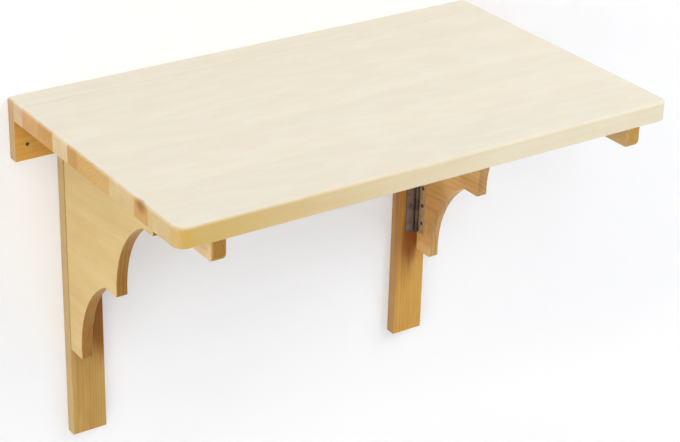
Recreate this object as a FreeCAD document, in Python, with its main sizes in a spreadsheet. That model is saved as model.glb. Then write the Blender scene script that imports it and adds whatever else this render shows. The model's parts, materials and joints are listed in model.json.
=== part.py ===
"""Wall-mounted drop-leaf table in solid pine, built piece by piece.

A rail with a narrow ledge is screwed to the wall, with a post under each end.
The leaf hangs on three butt hinges under the ledge and rests on two shaped
gussets, which swing on butt hinges in the inner corners of the posts.

Model frame: X along the wall with 0 at mid-width, Y = 0 on the wall and the
room towards -Y, Z up with 0 at mid-height of the rail.  Millimetres.
"""
import FreeCAD
import Part
import Sketcher
import math
import os

Vector = FreeCAD.Vector

# Driving dimensions: alias, value, what it is.
DIMENSIONS = [
    ("table_width", 800.0, "leaf, ledge and rail, end to end"),
    ("table_depth", 480.0, "wall to the front edge of the leaf"),
    ("leaf_thickness", 30.0, "leaf and ledge"),
    ("corner_radius", 17.0, "front corners of the leaf, in plan"),
    ("top_roundover", 5.0, "upper edges of the tabletop"),
    ("bottom_ease", 1.5, "lower edges of the leaf"),
    ("board_ease", 1.2, "sanded edges of the other boards"),
    ("ledge_depth", 25.0, "fixed strip between rail and leaf"),
    ("seam_gap", 0.6, "air between ledge and leaf"),
    ("rail_height", 93.0, "rail on the wall"),
    ("rail_thickness", 18.0, "rail on the wall"),
    ("post_inset", 72.0, "end of the table to the outer side of a post"),
    ("post_width", 56.0, "post, along the wall"),
    ("post_length", 477.0, "post, below the rail"),
    ("wall_hole_radius", 2.75, "holes for the screws into the wall"),
    ("wall_hole_inset", 19.0, "end of the rail to its first hole"),
    ("wall_hole_drop", 69.0, "tabletop to the holes of the rail"),
    ("post_hole_drop", 246.0, "tabletop to the hole of a post"),
    ("gusset_thickness", 18.0, "swinging gusset"),
    ("gusset_height", 387.0, "top edge to foot"),
    ("gusset_setback", 2.0, "post to the back edge of the gusset"),
    ("gusset_clearance", 0.3, "top edge of the gusset to the leaf"),
    ("foot_depth", 37.0, "flat end at the bottom of the gusset"),
    ("lower_cove_run", 79.0, "lower cove, away from the wall"),
    ("lower_cove_radius", 165.0, "lower cove"),
    ("tooth_height", 228.0, "top edge to the flat between the coves"),
    ("tooth_depth", 37.0, "flat between the coves"),
    ("upper_cove_run", 79.0, "upper cove, away from the wall"),
    ("upper_cove_radius", 153.0, "upper cove"),
    ("nose_height", 84.0, "front end of the gusset"),
    ("nose_depth", 31.0, "flat under the front end"),
    ("tip_radius", 3.0, "corners of the gusset profile"),
    ("batten_width", 23.5, "stop batten under the leaf"),
    ("batten_height", 31.5, "stop batten under the leaf"),
    ("batten_clearance", 0.5, "open gusset to the batten beside it"),
    ("batten_front_margin", 2.5, "front edge of the leaf to the batten"),
    ("batten_rear_margin", 62.0, "rear edge of the leaf to the batten"),
    ("batten_nose_radius", 10.0, "lower front corner of the batten"),
    ("batten_ease", 5.0, "lower and front edges of the batten"),
    ("batten_screw_margin", 34.0, "end of the batten to its first screw"),
    ("hinge_thickness", 1.6, "plate of every hinge leaf"),
    ("hinge_width", 19.0, "pin axis to the edge of a hinge leaf"),
    ("hinge_standoff", 4.0, "wood to the pin axis"),
    ("knuckle_radius", 3.4, "barrel of every hinge"),
    ("knuckle_gap", 0.3, "between neighbouring knuckles"),
    ("knuckle_relief", 0.5, "notch in a plate beyond the barrel"),
    ("pin_radius", 1.5, "hinge pin"),
    ("pin_clearance", 0.05, "running fit of the knuckles on the pin"),
    ("pin_head_radius", 3.0, "button at each end of a pin"),
    ("pin_head_height", 1.8, "button at each end of a pin"),
    ("hinge_screw_offset", 11.5, "pin axis to the row of screws"),
    ("gusset_hinge_length", 100.0, "hinges of the gussets"),
    ("gusset_hinge_pitch", 32.0, "screw to screw"),
    ("gusset_hinge_top", 73.0, "top of the gusset to its upper hinge"),
    ("gusset_hinge_foot", 36.0, "foot of the gusset to its lower hinge"),
    ("table_hinge_length", 50.0, "hinges of the leaf"),
    ("table_hinge_pitch", 28.0, "screw to screw"),
    ("table_hinge_inset", 39.0, "end of the table to its outer hinges"),
    ("hinge_screw_radius", 1.75, "shank"),
    ("hinge_screw_length", 16.0, "head to point"),
    ("wood_screw_radius", 2.0, "shank"),
    ("wood_screw_head", 2.2, "height of the countersunk head"),
    ("batten_screw_length", 45.0, "head to point"),
    ("ledge_screw_length", 36.0, "head to point"),
    ("ledge_screw_inset", 40.0, "end of the ledge to its first screw"),
    ("screw_point", 4.0, "length of a screw's point"),
    ("recess_width", 0.9, "arm of the cross recess"),
    ("recess_depth", 1.0, "cross recess"),
    ("screw_clearance", 0.05, "hole beyond the shank and the head"),
    ("dowel_radius", 4.0, "dowels between rail and posts"),
    ("dowel_length", 40.0, "half in the rail and half in the post"),
    ("dowel_pitch", 28.0, "dowel to dowel"),
    ("dowel_clearance", 0.05, "hole beyond the dowel, and beyond its end"),
]

GUSSET_HINGE_KNUCKLES = 5
TABLE_HINGE_KNUCKLES = 3
GUSSET_HINGE_SCREWS = 3
TABLE_HINGE_SCREWS = 2
TABLE_HINGE_COUNT = 3
WALL_HOLE_COUNT = 4
LEDGE_SCREW_COUNT = 5
BATTEN_SCREW_COUNT = 3
DOWEL_COUNT = 2
COUNTERSINK_TAPER = -45.0
QUARTER_TURN = 90.0
FULL_TURN = 360.0
RECESS_HEAD_SHARE = 0.25  # how far the recess reaches into the rim of a screw's head
TOLERANCE = 1e-4

LEFT, RIGHT = -1, 1
SIDES = {"left": LEFT, "right": RIGHT}


# ---------------------------------------------------------------- sizes

class Size:
    """A length with its value and the sheet formula that gives it."""

    def __init__(self, value, formula=None):
        self.value = float(value)
        self.formula = formula if formula else repr(self.value)

    @staticmethod
    def of(other):
        """A Size from a Size or from a plain number."""
        return other if isinstance(other, Size) else Size(other)

    def __add__(self, other):
        other = Size.of(other)
        return Size(self.value + other.value, "(%s + %s)" % (self.formula, other.formula))

    def __sub__(self, other):
        other = Size.of(other)
        return Size(self.value - other.value, "(%s - %s)" % (self.formula, other.formula))

    def __mul__(self, factor):
        factor = Size.of(factor)
        return Size(self.value * factor.value, "(%s * %s)" % (self.formula, factor.formula))

    def __truediv__(self, divisor):
        divisor = Size.of(divisor)
        return Size(self.value / divisor.value, "(%s / %s)" % (self.formula, divisor.formula))

    def __neg__(self):
        return Size(-self.value, "(0 - %s)" % self.formula)


ZERO = Size(0.0)


class Dimensions:
    """The driving dimensions as Sizes bound to the sheet, and what follows from them."""

    def __init__(self, doc):
        sheet = doc.addObject("Spreadsheet::Sheet", "dimensions")
        for row, (alias, value, note) in enumerate(DIMENSIONS, start=1):
            sheet.set("A%d" % row, note)
            sheet.set("B%d" % row, str(value))
            sheet.setAlias("B%d" % row, alias)
            setattr(self, alias, Size(value, "dimensions.%s" % alias))
        doc.recompute()

    @property
    def half_width(self):
        return self.table_width / 2

    @property
    def top(self):
        """Height of the tabletop."""
        return self.rail_height / 2

    @property
    def underside(self):
        """Height of the lower face of leaf and ledge."""
        return self.top - self.leaf_thickness

    @property
    def ledge_front(self):
        return -(self.rail_thickness + self.ledge_depth)

    @property
    def leaf_back(self):
        return self.ledge_front - self.seam_gap

    @property
    def post_outer(self):
        """Outer side of a post, from mid-width."""
        return self.half_width - self.post_inset

    @property
    def post_middle(self):
        return self.post_outer - self.post_width / 2

    @property
    def post_top(self):
        return -self.rail_height / 2

    @property
    def gusset_top(self):
        return self.underside - self.gusset_clearance

    @property
    def gusset_inner(self):
        """Face of the open gusset that carries its hinges, from mid-width."""
        return self.post_outer - self.gusset_thickness

    @property
    def gusset_axis_x(self):
        return self.gusset_inner - self.hinge_standoff

    @property
    def gusset_axis_y(self):
        return -(self.rail_thickness + self.hinge_standoff)

    @property
    def gusset_hinge_heights(self):
        """Middles of the upper and the lower hinge of a gusset."""
        half = self.gusset_hinge_length / 2
        upper = self.gusset_top - self.gusset_hinge_top - half
        lower = self.gusset_top - self.gusset_height + self.gusset_hinge_foot + half
        return {"upper": upper, "lower": lower}

    @property
    def table_axis_y(self):
        return self.ledge_front - self.seam_gap / 2

    @property
    def table_axis_z(self):
        return self.underside - self.hinge_standoff

    @property
    def table_hinge_places(self):
        """Middles of the leaf's hinges, along the wall."""
        reach = self.half_width - self.table_hinge_inset
        return spread(-reach, reach, TABLE_HINGE_COUNT)

    @property
    def pilot_radius(self):
        return self.hinge_screw_radius + self.screw_clearance

    @property
    def pilot_depth(self):
        return self.hinge_screw_length - self.hinge_thickness + self.screw_clearance

    @property
    def wood_screw_hole(self):
        return self.wood_screw_radius + self.screw_clearance

    @property
    def wood_screw_head_radius(self):
        """A head of 90 degrees grows as much as it is high."""
        return self.wood_screw_radius + self.wood_screw_head

    @property
    def batten_middle(self):
        return self.post_outer + self.batten_clearance + self.batten_width / 2

    @property
    def batten_bottom(self):
        return self.underside - self.batten_height

    @property
    def batten_rear(self):
        return self.leaf_back - self.batten_rear_margin

    @property
    def batten_front(self):
        return -(self.table_depth - self.batten_front_margin)

    @property
    def batten_screw_places(self):
        first = self.batten_front + self.batten_screw_margin
        last = self.batten_rear - self.batten_screw_margin
        return spread(first, last, BATTEN_SCREW_COUNT)

    @property
    def ledge_screw_places(self):
        reach = self.half_width - self.ledge_screw_inset
        return spread(-reach, reach, LEDGE_SCREW_COUNT)

    @property
    def ledge_middle(self):
        return self.top - self.leaf_thickness / 2


def spread(first, last, count):
    """Evenly spaced Sizes from first to last."""
    step = (last - first) / (count - 1)
    return [first + step * index for index in range(count)]


def bind(item, path, size):
    """Tie a property to the sheet."""
    item.setExpression(path, Size.of(size).formula)


# ------------------------------------------------------------- features

def new_body(doc, name):
    body = doc.addObject("PartDesign::Body", name)
    body.Label = name
    return body


def place(item, x, y, z, x_dir=Vector(1, 0, 0), y_dir=Vector(0, 1, 0)):
    """Put an item at (x, y, z), with its own X and Y axes along the two directions."""
    z_dir = x_dir.cross(y_dir)
    turn = FreeCAD.Rotation(x_dir, y_dir, z_dir, "ZXY")
    sizes = [Size.of(each) for each in (x, y, z)]
    item.Placement = FreeCAD.Placement(Vector(*[size.value for size in sizes]), turn)
    for axis, size in zip("xyz", sizes):
        bind(item, "Placement.Base.%s" % axis, size)


def new_sketch(body, role, name, offset=ZERO):
    """A sketch on one of the body's origin planes, moved along the plane's normal."""
    plane = next(item for item in body.Origin.OriginFeatures if item.Role == role)
    sketch = body.newObject("Sketcher::SketchObject", name)
    sketch.AttachmentSupport = (plane, [""])
    sketch.MapMode = "FlatFace"
    sketch.AttachmentOffset = FreeCAD.Placement(Vector(0, 0, offset.value), FreeCAD.Rotation())
    bind(sketch, "AttachmentOffset.Base.z", offset)
    return sketch


def dimension(sketch, kind, geometry, point, size):
    """Fix a coordinate of a point, from the sketch's origin."""
    size = Size.of(size)
    index = sketch.addConstraint(
        Sketcher.Constraint(kind, -1, 1, geometry, point, size.value))
    bind(sketch, "Constraints[%d]" % index, size)


def arc_between(start, end, radius):
    """The arc from start to end whose centre is on the right of the way from one to the other."""
    chord = end - start
    half = chord.Length / 2
    rise = math.sqrt(max(radius ** 2 - half ** 2, 0.0))
    right = Vector(chord.y, -chord.x, 0).normalize()
    centre = (start + end) / 2 + right * rise
    first = math.atan2(start.y - centre.y, start.x - centre.x)
    last = math.atan2(end.y - centre.y, end.x - centre.x)
    circle = Part.Circle(centre, Vector(0, 0, 1), radius)
    return Part.ArcOfCircle(circle, last, first)


def add_outline(sketch, corners, arcs=None):
    """A closed outline through the corners; arcs gives the radius of each side that is one.

    An arc's centre lies on the right of its way, and its ends are then the other way round.
    """
    arcs = arcs or {}
    points = [Vector(Size.of(x).value, Size.of(y).value, 0) for x, y in corners]
    ends = []
    for index, start in enumerate(points):
        end = points[(index + 1) % len(points)]
        if index in arcs:
            geometry = sketch.addGeometry(arc_between(start, end, arcs[index].value), False)
            ends.append((geometry, 2, 1))
        else:
            geometry = sketch.addGeometry(Part.LineSegment(start, end), False)
            ends.append((geometry, 1, 2))
    for index, (geometry, _, last) in enumerate(ends):
        following, first, _ = ends[(index + 1) % len(ends)]
        sketch.addConstraint(
            Sketcher.Constraint("Coincident", geometry, last, following, first))
    for index, (x, y) in enumerate(corners):
        geometry, first, _ = ends[index]
        dimension(sketch, "DistanceX", geometry, first, x)
        dimension(sketch, "DistanceY", geometry, first, y)
    for index, radius in arcs.items():
        constraint = sketch.addConstraint(
            Sketcher.Constraint("Radius", ends[index][0], radius.value))
        bind(sketch, "Constraints[%d]" % constraint, radius)


def add_rectangle(sketch, x_low, x_high, y_low, y_high):
    add_outline(sketch, [(x_low, y_low), (x_high, y_low), (x_high, y_high), (x_low, y_high)])


def add_circles(sketch, centres, radius):
    for x, y in centres:
        centre = Vector(Size.of(x).value, Size.of(y).value, 0)
        geometry = sketch.addGeometry(
            Part.Circle(centre, Vector(0, 0, 1), radius.value), False)
        constraint = sketch.addConstraint(
            Sketcher.Constraint("Radius", geometry, radius.value))
        bind(sketch, "Constraints[%d]" % constraint, radius)
        dimension(sketch, "DistanceX", geometry, 3, x)
        dimension(sketch, "DistanceY", geometry, 3, y)


def pad(body, sketch, length, midplane=False):
    feature = body.newObject("PartDesign::Pad", sketch.Name + "_pad")
    feature.Profile = sketch
    feature.Midplane = midplane
    bind(feature, "Length", length)
    sketch.Visibility = False
    body.Document.recompute()
    return feature


def cut(body, sketch, depth=None, along_normal=False, taper=0.0):
    """A pocket: through everything without a depth, else to one side of the sketch.

    It goes against the sketch's normal unless along_normal is set, and it has to remove
    material.
    """
    before = body.Shape.Volume
    feature = body.newObject("PartDesign::Pocket", sketch.Name + "_pocket")
    feature.Profile = sketch
    if depth is None:
        feature.Type = "ThroughAll"
        feature.Midplane = True
    else:
        feature.Type = "Length"
        feature.Reversed = along_normal
        feature.TaperAngle = taper
        bind(feature, "Length", depth)
    sketch.Visibility = False
    body.Document.recompute()
    if not body.Shape.Volume < before:
        raise RuntimeError("%s cuts nothing" % feature.Name)
    return feature


def round_edges(body, name, wanted, radius):
    """Fillet the edges of the body's shape that the test picks."""
    base = body.Tip
    edges = ["Edge%d" % (index + 1)
             for index, edge in enumerate(base.Shape.Edges) if wanted(edge)]
    if not edges:
        raise RuntimeError("%s finds no edge" % name)
    feature = body.newObject("PartDesign::Fillet", name)
    feature.Base = (base, edges)
    bind(feature, "Radius", radius)
    body.Document.recompute()
    return feature


def lies_at(edge, axis, size):
    """True if the whole edge has this coordinate."""
    marks = [vertex.Point for vertex in edge.Vertexes] + [edge.CenterOfMass]
    return all(abs(getattr(mark, axis) - size.value) < TOLERANCE for mark in marks)


def runs_along(edge, axis):
    """True for a straight edge along one axis."""
    return all(abs(getattr(edge.Vertexes[0].Point - edge.Vertexes[-1].Point, other))
               < TOLERANCE for other in "xyz" if other != axis) and edge.Length > TOLERANCE


def countersink(body, sketch, height, along_normal):
    """A cone of 90 degrees that starts from the sketch's circles."""
    return cut(body, sketch, height, along_normal, taper=COUNTERSINK_TAPER)


# ------------------------------------------------------- fixed woodwork

def make_rail(doc, d):
    """Rail on the wall, flush with the tabletop, with holes for wall screws and dowels."""
    body = new_body(doc, "wall_rail")
    outline = new_sketch(body, "XZ_Plane", "rail_outline")
    add_rectangle(outline, -d.half_width, d.half_width, d.post_top, d.top)
    pad(body, outline, d.rail_thickness)
    round_edges(body, "rail_ends",
                lambda edge: lies_at(edge, "z", d.top) and runs_along(edge, "y"),
                d.top_roundover)
    front = -d.rail_thickness
    round_edges(body, "rail_ease",
                lambda edge: lies_at(edge, "y", front) and lies_at(edge, "z", d.post_top),
                d.board_ease)

    reach = d.half_width - d.wall_hole_inset
    height = d.top - d.wall_hole_drop
    holes = new_sketch(body, "XZ_Plane", "rail_wall_holes")
    add_circles(holes, [(x, height) for x in spread(-reach, reach, WALL_HOLE_COUNT)],
                d.wall_hole_radius)
    cut(body, holes)

    seats = [(x, d.ledge_middle) for x in d.ledge_screw_places]
    holes = new_sketch(body, "XZ_Plane", "rail_ledge_holes")
    add_circles(holes, seats, d.wood_screw_hole)
    cut(body, holes)
    cones = new_sketch(body, "XZ_Plane", "rail_ledge_cones")
    add_circles(cones, seats, d.wood_screw_head_radius + d.screw_clearance)
    countersink(body, cones, d.wood_screw_head, along_normal=True)

    sockets = new_sketch(body, "XY_Plane", "rail_dowel_holes", d.post_top)
    add_circles(sockets, dowel_places(d, LEFT) + dowel_places(d, RIGHT),
                d.dowel_radius + d.dowel_clearance)
    cut(body, sockets, d.dowel_length / 2 + d.dowel_clearance, along_normal=True)
    place(body, ZERO, ZERO, ZERO)
    return body


def dowel_places(d, side):
    """Dowels of one post, from above."""
    reach = d.dowel_pitch / 2
    return [(d.post_middle * side + offset, -d.rail_thickness / 2)
            for offset in spread(-reach, reach, DOWEL_COUNT)]


def make_ledge(doc, d):
    """Fixed strip that carries the hinges of the leaf."""
    body = new_body(doc, "rear_ledge")
    outline = new_sketch(body, "YZ_Plane", "ledge_outline")
    add_rectangle(outline, d.ledge_front, -d.rail_thickness, d.underside, d.top)
    pad(body, outline, d.table_width, midplane=True)
    round_edges(body, "ledge_ends",
                lambda edge: lies_at(edge, "z", d.top) and runs_along(edge, "y"),
                d.top_roundover)
    holes = new_sketch(body, "XZ_Plane", "ledge_screw_holes", d.rail_thickness)
    add_circles(holes, [(x, d.ledge_middle) for x in d.ledge_screw_places],
                d.wood_screw_hole)
    cut(body, holes, d.ledge_screw_length - d.rail_thickness + d.screw_clearance,
        along_normal=True)
    pilots = new_sketch(body, "XY_Plane", "ledge_pilots", d.underside)
    add_circles(pilots, table_hinge_seats(d, towards_wall=True), d.pilot_radius)
    cut(body, pilots, d.pilot_depth, along_normal=True)
    place(body, ZERO, ZERO, ZERO)
    return body


def make_post(doc, d, name, side):
    """Post under the rail; its own frame has mid-width at X = 0 and its top at Z = 0."""
    body = new_body(doc, name)
    outline = new_sketch(body, "XZ_Plane", name + "_outline")
    half = d.post_width / 2
    add_rectangle(outline, -half, half, -d.post_length, ZERO)
    pad(body, outline, d.rail_thickness)
    front = -d.rail_thickness
    round_edges(body, name + "_ease",
                lambda edge: lies_at(edge, "y", front) and not lies_at(edge, "z", ZERO),
                d.board_ease)

    hole = new_sketch(body, "XZ_Plane", name + "_wall_hole")
    add_circles(hole, [(ZERO, d.rail_height - d.post_hole_drop)], d.wall_hole_radius)
    cut(body, hole)

    pilots = new_sketch(body, "XZ_Plane", name + "_pilots", d.rail_thickness)
    add_circles(pilots, [(x - d.post_middle * side, z - d.post_top)
                         for x, z in post_hinge_seats(d, side)], d.pilot_radius)
    cut(body, pilots, d.pilot_depth)

    sockets = new_sketch(body, "XY_Plane", name + "_dowel_holes")
    add_circles(sockets, [(x - d.post_middle * side, y) for x, y in dowel_places(d, side)],
                d.dowel_radius + d.dowel_clearance)
    cut(body, sockets, d.dowel_length / 2 + d.dowel_clearance)
    place(body, d.post_middle * side, ZERO, d.post_top)
    return body


def make_dowels(doc, d, name, side):
    """Dowels across the joint of rail and post."""
    pegs = []
    for number, (x, y) in enumerate(dowel_places(d, side), start=1):
        peg = doc.addObject("Part::Cylinder", "%s_%d" % (name, number))
        bind(peg, "Radius", d.dowel_radius)
        bind(peg, "Height", d.dowel_length)
        place(peg, x, y, d.post_top - d.dowel_length / 2)
        pegs.append(peg)
    group = doc.addObject("Part::Compound", name)
    group.Links = pegs
    group.Label = name
    return group


# ------------------------------------------------------ moving woodwork

def make_leaf(doc, d):
    """Drop leaf: round front corners, rounded upper edge, square back edge."""
    body = new_body(doc, "table_leaf")
    outline = new_sketch(body, "XY_Plane", "leaf_outline", d.underside)
    add_rectangle(outline, -d.half_width, d.half_width, -d.table_depth, d.leaf_back)
    pad(body, outline, d.leaf_thickness)
    front = -d.table_depth
    round_edges(body, "leaf_corners",
                lambda edge: runs_along(edge, "z") and lies_at(edge, "y", front),
                d.corner_radius)
    round_edges(body, "leaf_top_edge",
                lambda edge: lies_at(edge, "z", d.top) and not lies_at(edge, "y", d.leaf_back),
                d.top_roundover)
    round_edges(body, "leaf_bottom_edge",
                lambda edge: lies_at(edge, "z", d.underside)
                and not lies_at(edge, "y", d.leaf_back),
                d.bottom_ease)

    holes = new_sketch(body, "XY_Plane", "leaf_batten_holes", d.underside)
    add_circles(holes, [(d.batten_middle * side, y)
                        for side in SIDES.values() for y in d.batten_screw_places],
                d.wood_screw_hole)
    cut(body, holes, d.batten_screw_length - d.batten_height + d.screw_clearance,
        along_normal=True)
    pilots = new_sketch(body, "XY_Plane", "leaf_pilots", d.underside)
    add_circles(pilots, table_hinge_seats(d, towards_wall=False), d.pilot_radius)
    cut(body, pilots, d.pilot_depth, along_normal=True)
    place(body, ZERO, ZERO, ZERO)
    return body


def make_batten(doc, d, name, side):
    """Stop batten under the leaf, just outside the open gusset."""
    body = new_body(doc, name)
    outline = new_sketch(body, "YZ_Plane", name + "_outline")
    add_rectangle(outline, d.batten_front, d.batten_rear, d.batten_bottom, d.underside)
    pad(body, outline, d.batten_width, midplane=True)
    round_edges(body, name + "_nose",
                lambda edge: lies_at(edge, "y", d.batten_front)
                and lies_at(edge, "z", d.batten_bottom),
                d.batten_nose_radius)
    round_edges(body, name + "_ease",
                lambda edge: not runs_along(edge, "x")
                and not lies_at(edge, "z", d.underside)
                and not lies_at(edge, "y", d.batten_rear),
                d.batten_ease)
    seats = [(ZERO, y) for y in d.batten_screw_places]
    holes = new_sketch(body, "XY_Plane", name + "_holes", d.batten_bottom)
    add_circles(holes, seats, d.wood_screw_hole)
    cut(body, holes)
    cones = new_sketch(body, "XY_Plane", name + "_cones", d.batten_bottom)
    add_circles(cones, seats, d.wood_screw_head_radius + d.screw_clearance)
    countersink(body, cones, d.wood_screw_head, along_normal=True)
    place(body, d.batten_middle * side, ZERO, ZERO)
    return body


def gusset_profile(d):
    """Corners of the gusset in its own frame: back edge at 0, top edge at 0."""
    foot = -d.foot_depth
    tooth_rear = foot - d.lower_cove_run
    tooth_front = tooth_rear - d.tooth_depth
    nose_rear = tooth_front - d.upper_cove_run
    nose_front = nose_rear - d.nose_depth
    corners = [
        (ZERO, ZERO),
        (nose_front, ZERO),
        (nose_front, -d.nose_height),
        (nose_rear, -d.nose_height),
        (tooth_front, -d.tooth_height),
        (tooth_rear, -d.tooth_height),
        (foot, -d.gusset_height),
        (ZERO, -d.gusset_height),
    ]
    arcs = {3: d.upper_cove_radius, 5: d.lower_cove_radius}
    return corners, arcs


def make_gusset(doc, d, name, side):
    """Swinging gusset, open, with two coves below its arm."""
    body = new_body(doc, name)
    corners, arcs = gusset_profile(d)
    outline = new_sketch(body, "YZ_Plane", name + "_outline")
    add_outline(outline, corners, arcs)
    pad(body, outline, d.gusset_thickness, midplane=True)

    def is_tip(edge):
        return runs_along(edge, "x") and any(
            lies_at(edge, "y", y) and lies_at(edge, "z", z) for y, z in corners[1:])

    round_edges(body, name + "_tips", is_tip, d.tip_radius)
    half = d.gusset_thickness / 2
    round_edges(body, name + "_ease",
                lambda edge: (lies_at(edge, "x", half) or lies_at(edge, "x", -half))
                and not lies_at(edge, "z", ZERO) and not lies_at(edge, "y", ZERO),
                d.board_ease)

    pilots = new_sketch(body, "YZ_Plane", name + "_pilots", half * -side)
    back = -(d.rail_thickness + d.gusset_setback)
    add_circles(pilots, [(y - back, z - d.gusset_top) for y, z in gusset_hinge_seats(d)],
                d.pilot_radius)
    cut(body, pilots, d.pilot_depth, along_normal=side == RIGHT)
    place(body, (d.post_outer - half) * side, back, d.gusset_top)
    return body


# --------------------------------------------------------------- hinges

def screw_rows(middles, pitch, count):
    """Screw places along hinges with these middles."""
    reach = pitch * ((count - 1) / 2)
    return [middle + offset for middle in middles for offset in spread(-reach, reach, count)]


def post_hinge_seats(d, side):
    """Screws in a post: X and Z."""
    x = (d.gusset_axis_x - d.hinge_screw_offset) * side
    rows = screw_rows(d.gusset_hinge_heights.values(), d.gusset_hinge_pitch,
                      GUSSET_HINGE_SCREWS)
    return [(x, z) for z in rows]


def gusset_hinge_seats(d):
    """Screws in a gusset: Y and Z."""
    y = d.gusset_axis_y - d.hinge_screw_offset
    rows = screw_rows(d.gusset_hinge_heights.values(), d.gusset_hinge_pitch,
                      GUSSET_HINGE_SCREWS)
    return [(y, z) for z in rows]


def table_hinge_seats(d, towards_wall):
    """Screws under the ledge or under the leaf: X and Y."""
    offset = d.hinge_screw_offset if towards_wall else -d.hinge_screw_offset
    rows = screw_rows(d.table_hinge_places, d.table_hinge_pitch, TABLE_HINGE_SCREWS)
    return [(x, d.table_axis_y + offset) for x in rows]


class Hinge:
    """Butt hinge; its own frame has the pin along Z and a leaf along +X."""

    def __init__(self, d, length, knuckles, pitch, screws):
        self.d = d
        self.length = length
        self.knuckles = knuckles
        self.pitch = pitch
        self.screws = screws

    def knuckle_span(self, index, margin):
        """Lowest and highest point of one knuckle, grown by a margin."""
        step = self.length / self.knuckles
        low = step * index - self.length / 2
        return low - margin, low + step + margin

    def make_leaf(self, doc, name, first_knuckle):
        """Plate with every second knuckle, from first_knuckle, and countersunk holes."""
        d = self.d
        body = new_body(doc, name)
        inner = -d.hinge_standoff + d.hinge_thickness
        plate = new_sketch(body, "XY_Plane", name + "_plate")
        add_rectangle(plate, ZERO, d.hinge_width, -d.hinge_standoff, inner)
        pad(body, plate, self.length, midplane=True)
        barrel = new_sketch(body, "XY_Plane", name + "_barrel")
        add_circles(barrel, [(ZERO, ZERO)], d.knuckle_radius)
        pad(body, barrel, self.length, midplane=True)

        notches = new_sketch(body, "XZ_Plane", name + "_notches")
        reach = d.knuckle_radius + d.knuckle_relief
        for index in range(1 - first_knuckle, self.knuckles, 2):
            low, high = self.knuckle_span(index, d.knuckle_gap / 2)
            add_rectangle(notches, -reach, reach, low, high)
        cut(body, notches)
        bore = new_sketch(body, "XY_Plane", name + "_bore")
        add_circles(bore, [(ZERO, ZERO)], d.pin_radius + d.pin_clearance)
        cut(body, bore)

        holes = new_sketch(body, "XZ_Plane", name + "_holes", -inner)
        rows = screw_rows([ZERO], self.pitch, self.screws)
        add_circles(holes, [(d.hinge_screw_offset, z) for z in rows],
                    d.hinge_screw_radius + d.hinge_thickness + d.screw_clearance)
        countersink(body, holes, d.hinge_thickness, along_normal=True)
        return body

    def make_pin(self, doc, name):
        """Pin with a button at each end."""
        d = self.d
        body = new_body(doc, name)
        profile = new_sketch(body, "XZ_Plane", name + "_profile")
        half = self.length / 2
        neck = half + d.knuckle_gap
        end = neck + d.pin_head_height
        add_outline(profile, [
            (ZERO, -end), (d.pin_radius, -end), (d.pin_head_radius, -neck),
            (d.pin_radius, -neck), (d.pin_radius, neck), (d.pin_head_radius, neck),
            (d.pin_radius, end), (ZERO, end)])
        revolve(body, profile)
        return body


def revolve(body, sketch):
    """Turn a profile about the sketch's vertical axis."""
    feature = body.newObject("PartDesign::Revolution", sketch.Name + "_turned")
    feature.Profile = sketch
    feature.ReferenceAxis = (sketch, ["V_Axis"])
    feature.Angle = FULL_TURN
    sketch.Visibility = False
    body.Document.recompute()
    return feature


def make_gusset_hinges(doc, d):
    """Two hinges for each gusset: a leaf on the post, a leaf on the gusset and a pin."""
    hinge = Hinge(d, d.gusset_hinge_length, GUSSET_HINGE_KNUCKLES,
                  d.gusset_hinge_pitch, GUSSET_HINGE_SCREWS)
    made = []
    for side_name, side in SIDES.items():
        x = d.gusset_axis_x * side
        inward = Vector(-side, 0, 0)
        for level, z in d.gusset_hinge_heights.items():
            prefix = "%s_%s" % (side_name, level)
            post_leaf = hinge.make_leaf(doc, prefix + "_post_hinge_leaf", 0)
            place(post_leaf, x, d.gusset_axis_y, z, inward, Vector(0, -1, 0))
            gusset_leaf = hinge.make_leaf(doc, prefix + "_gusset_hinge_leaf", 1)
            place(gusset_leaf, x, d.gusset_axis_y, z, Vector(0, -1, 0), inward)
            pin = hinge.make_pin(doc, prefix + "_hinge_pin")
            place(pin, x, d.gusset_axis_y, z)
            made += [post_leaf, gusset_leaf, pin]
    return made


def make_table_hinges(doc, d):
    """Hinges between ledge and leaf, hung below them."""
    hinge = Hinge(d, d.table_hinge_length, TABLE_HINGE_KNUCKLES,
                  d.table_hinge_pitch, TABLE_HINGE_SCREWS)
    down = Vector(0, 0, -1)
    made = []
    for number, x in enumerate(d.table_hinge_places, start=1):
        prefix = "table_hinge_%d" % number
        ledge_leaf = hinge.make_leaf(doc, prefix + "_ledge_leaf", 0)
        place(ledge_leaf, x, d.table_axis_y, d.table_axis_z, Vector(0, 1, 0), down)
        table_leaf = hinge.make_leaf(doc, prefix + "_table_leaf", 1)
        place(table_leaf, x, d.table_axis_y, d.table_axis_z, Vector(0, -1, 0), down)
        pin = hinge.make_pin(doc, prefix + "_pin")
        place(pin, x, d.table_axis_y, d.table_axis_z, Vector(0, 1, 0), down)
        made += [ledge_leaf, table_leaf, pin]
    return made


# --------------------------------------------------------------- screws

def make_screw(doc, d, name, radius, head, length):
    """Countersunk screw with a cross recess, head at Z = 0 and point down."""
    body = new_body(doc, name)
    profile = new_sketch(body, "XZ_Plane", name + "_profile")
    add_outline(profile, [
        (ZERO, -length), (radius, -length + d.screw_point), (radius, -head),
        (radius + head, ZERO), (ZERO, ZERO)])
    revolve(body, profile)
    slot = new_sketch(body, "XY_Plane", name + "_slot")
    arm = radius + head * RECESS_HEAD_SHARE
    half = d.recess_width / 2
    add_rectangle(slot, -arm, arm, -half, half)
    recess = cut(body, slot, d.recess_depth)
    cross = body.newObject("PartDesign::PolarPattern", name + "_cross")
    cross.Originals = [recess]
    cross.Axis = (slot, ["N_Axis"])
    cross.Angle = QUARTER_TURN
    cross.Occurrences = 2
    body.Tip = cross
    body.Document.recompute()
    return body


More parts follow.
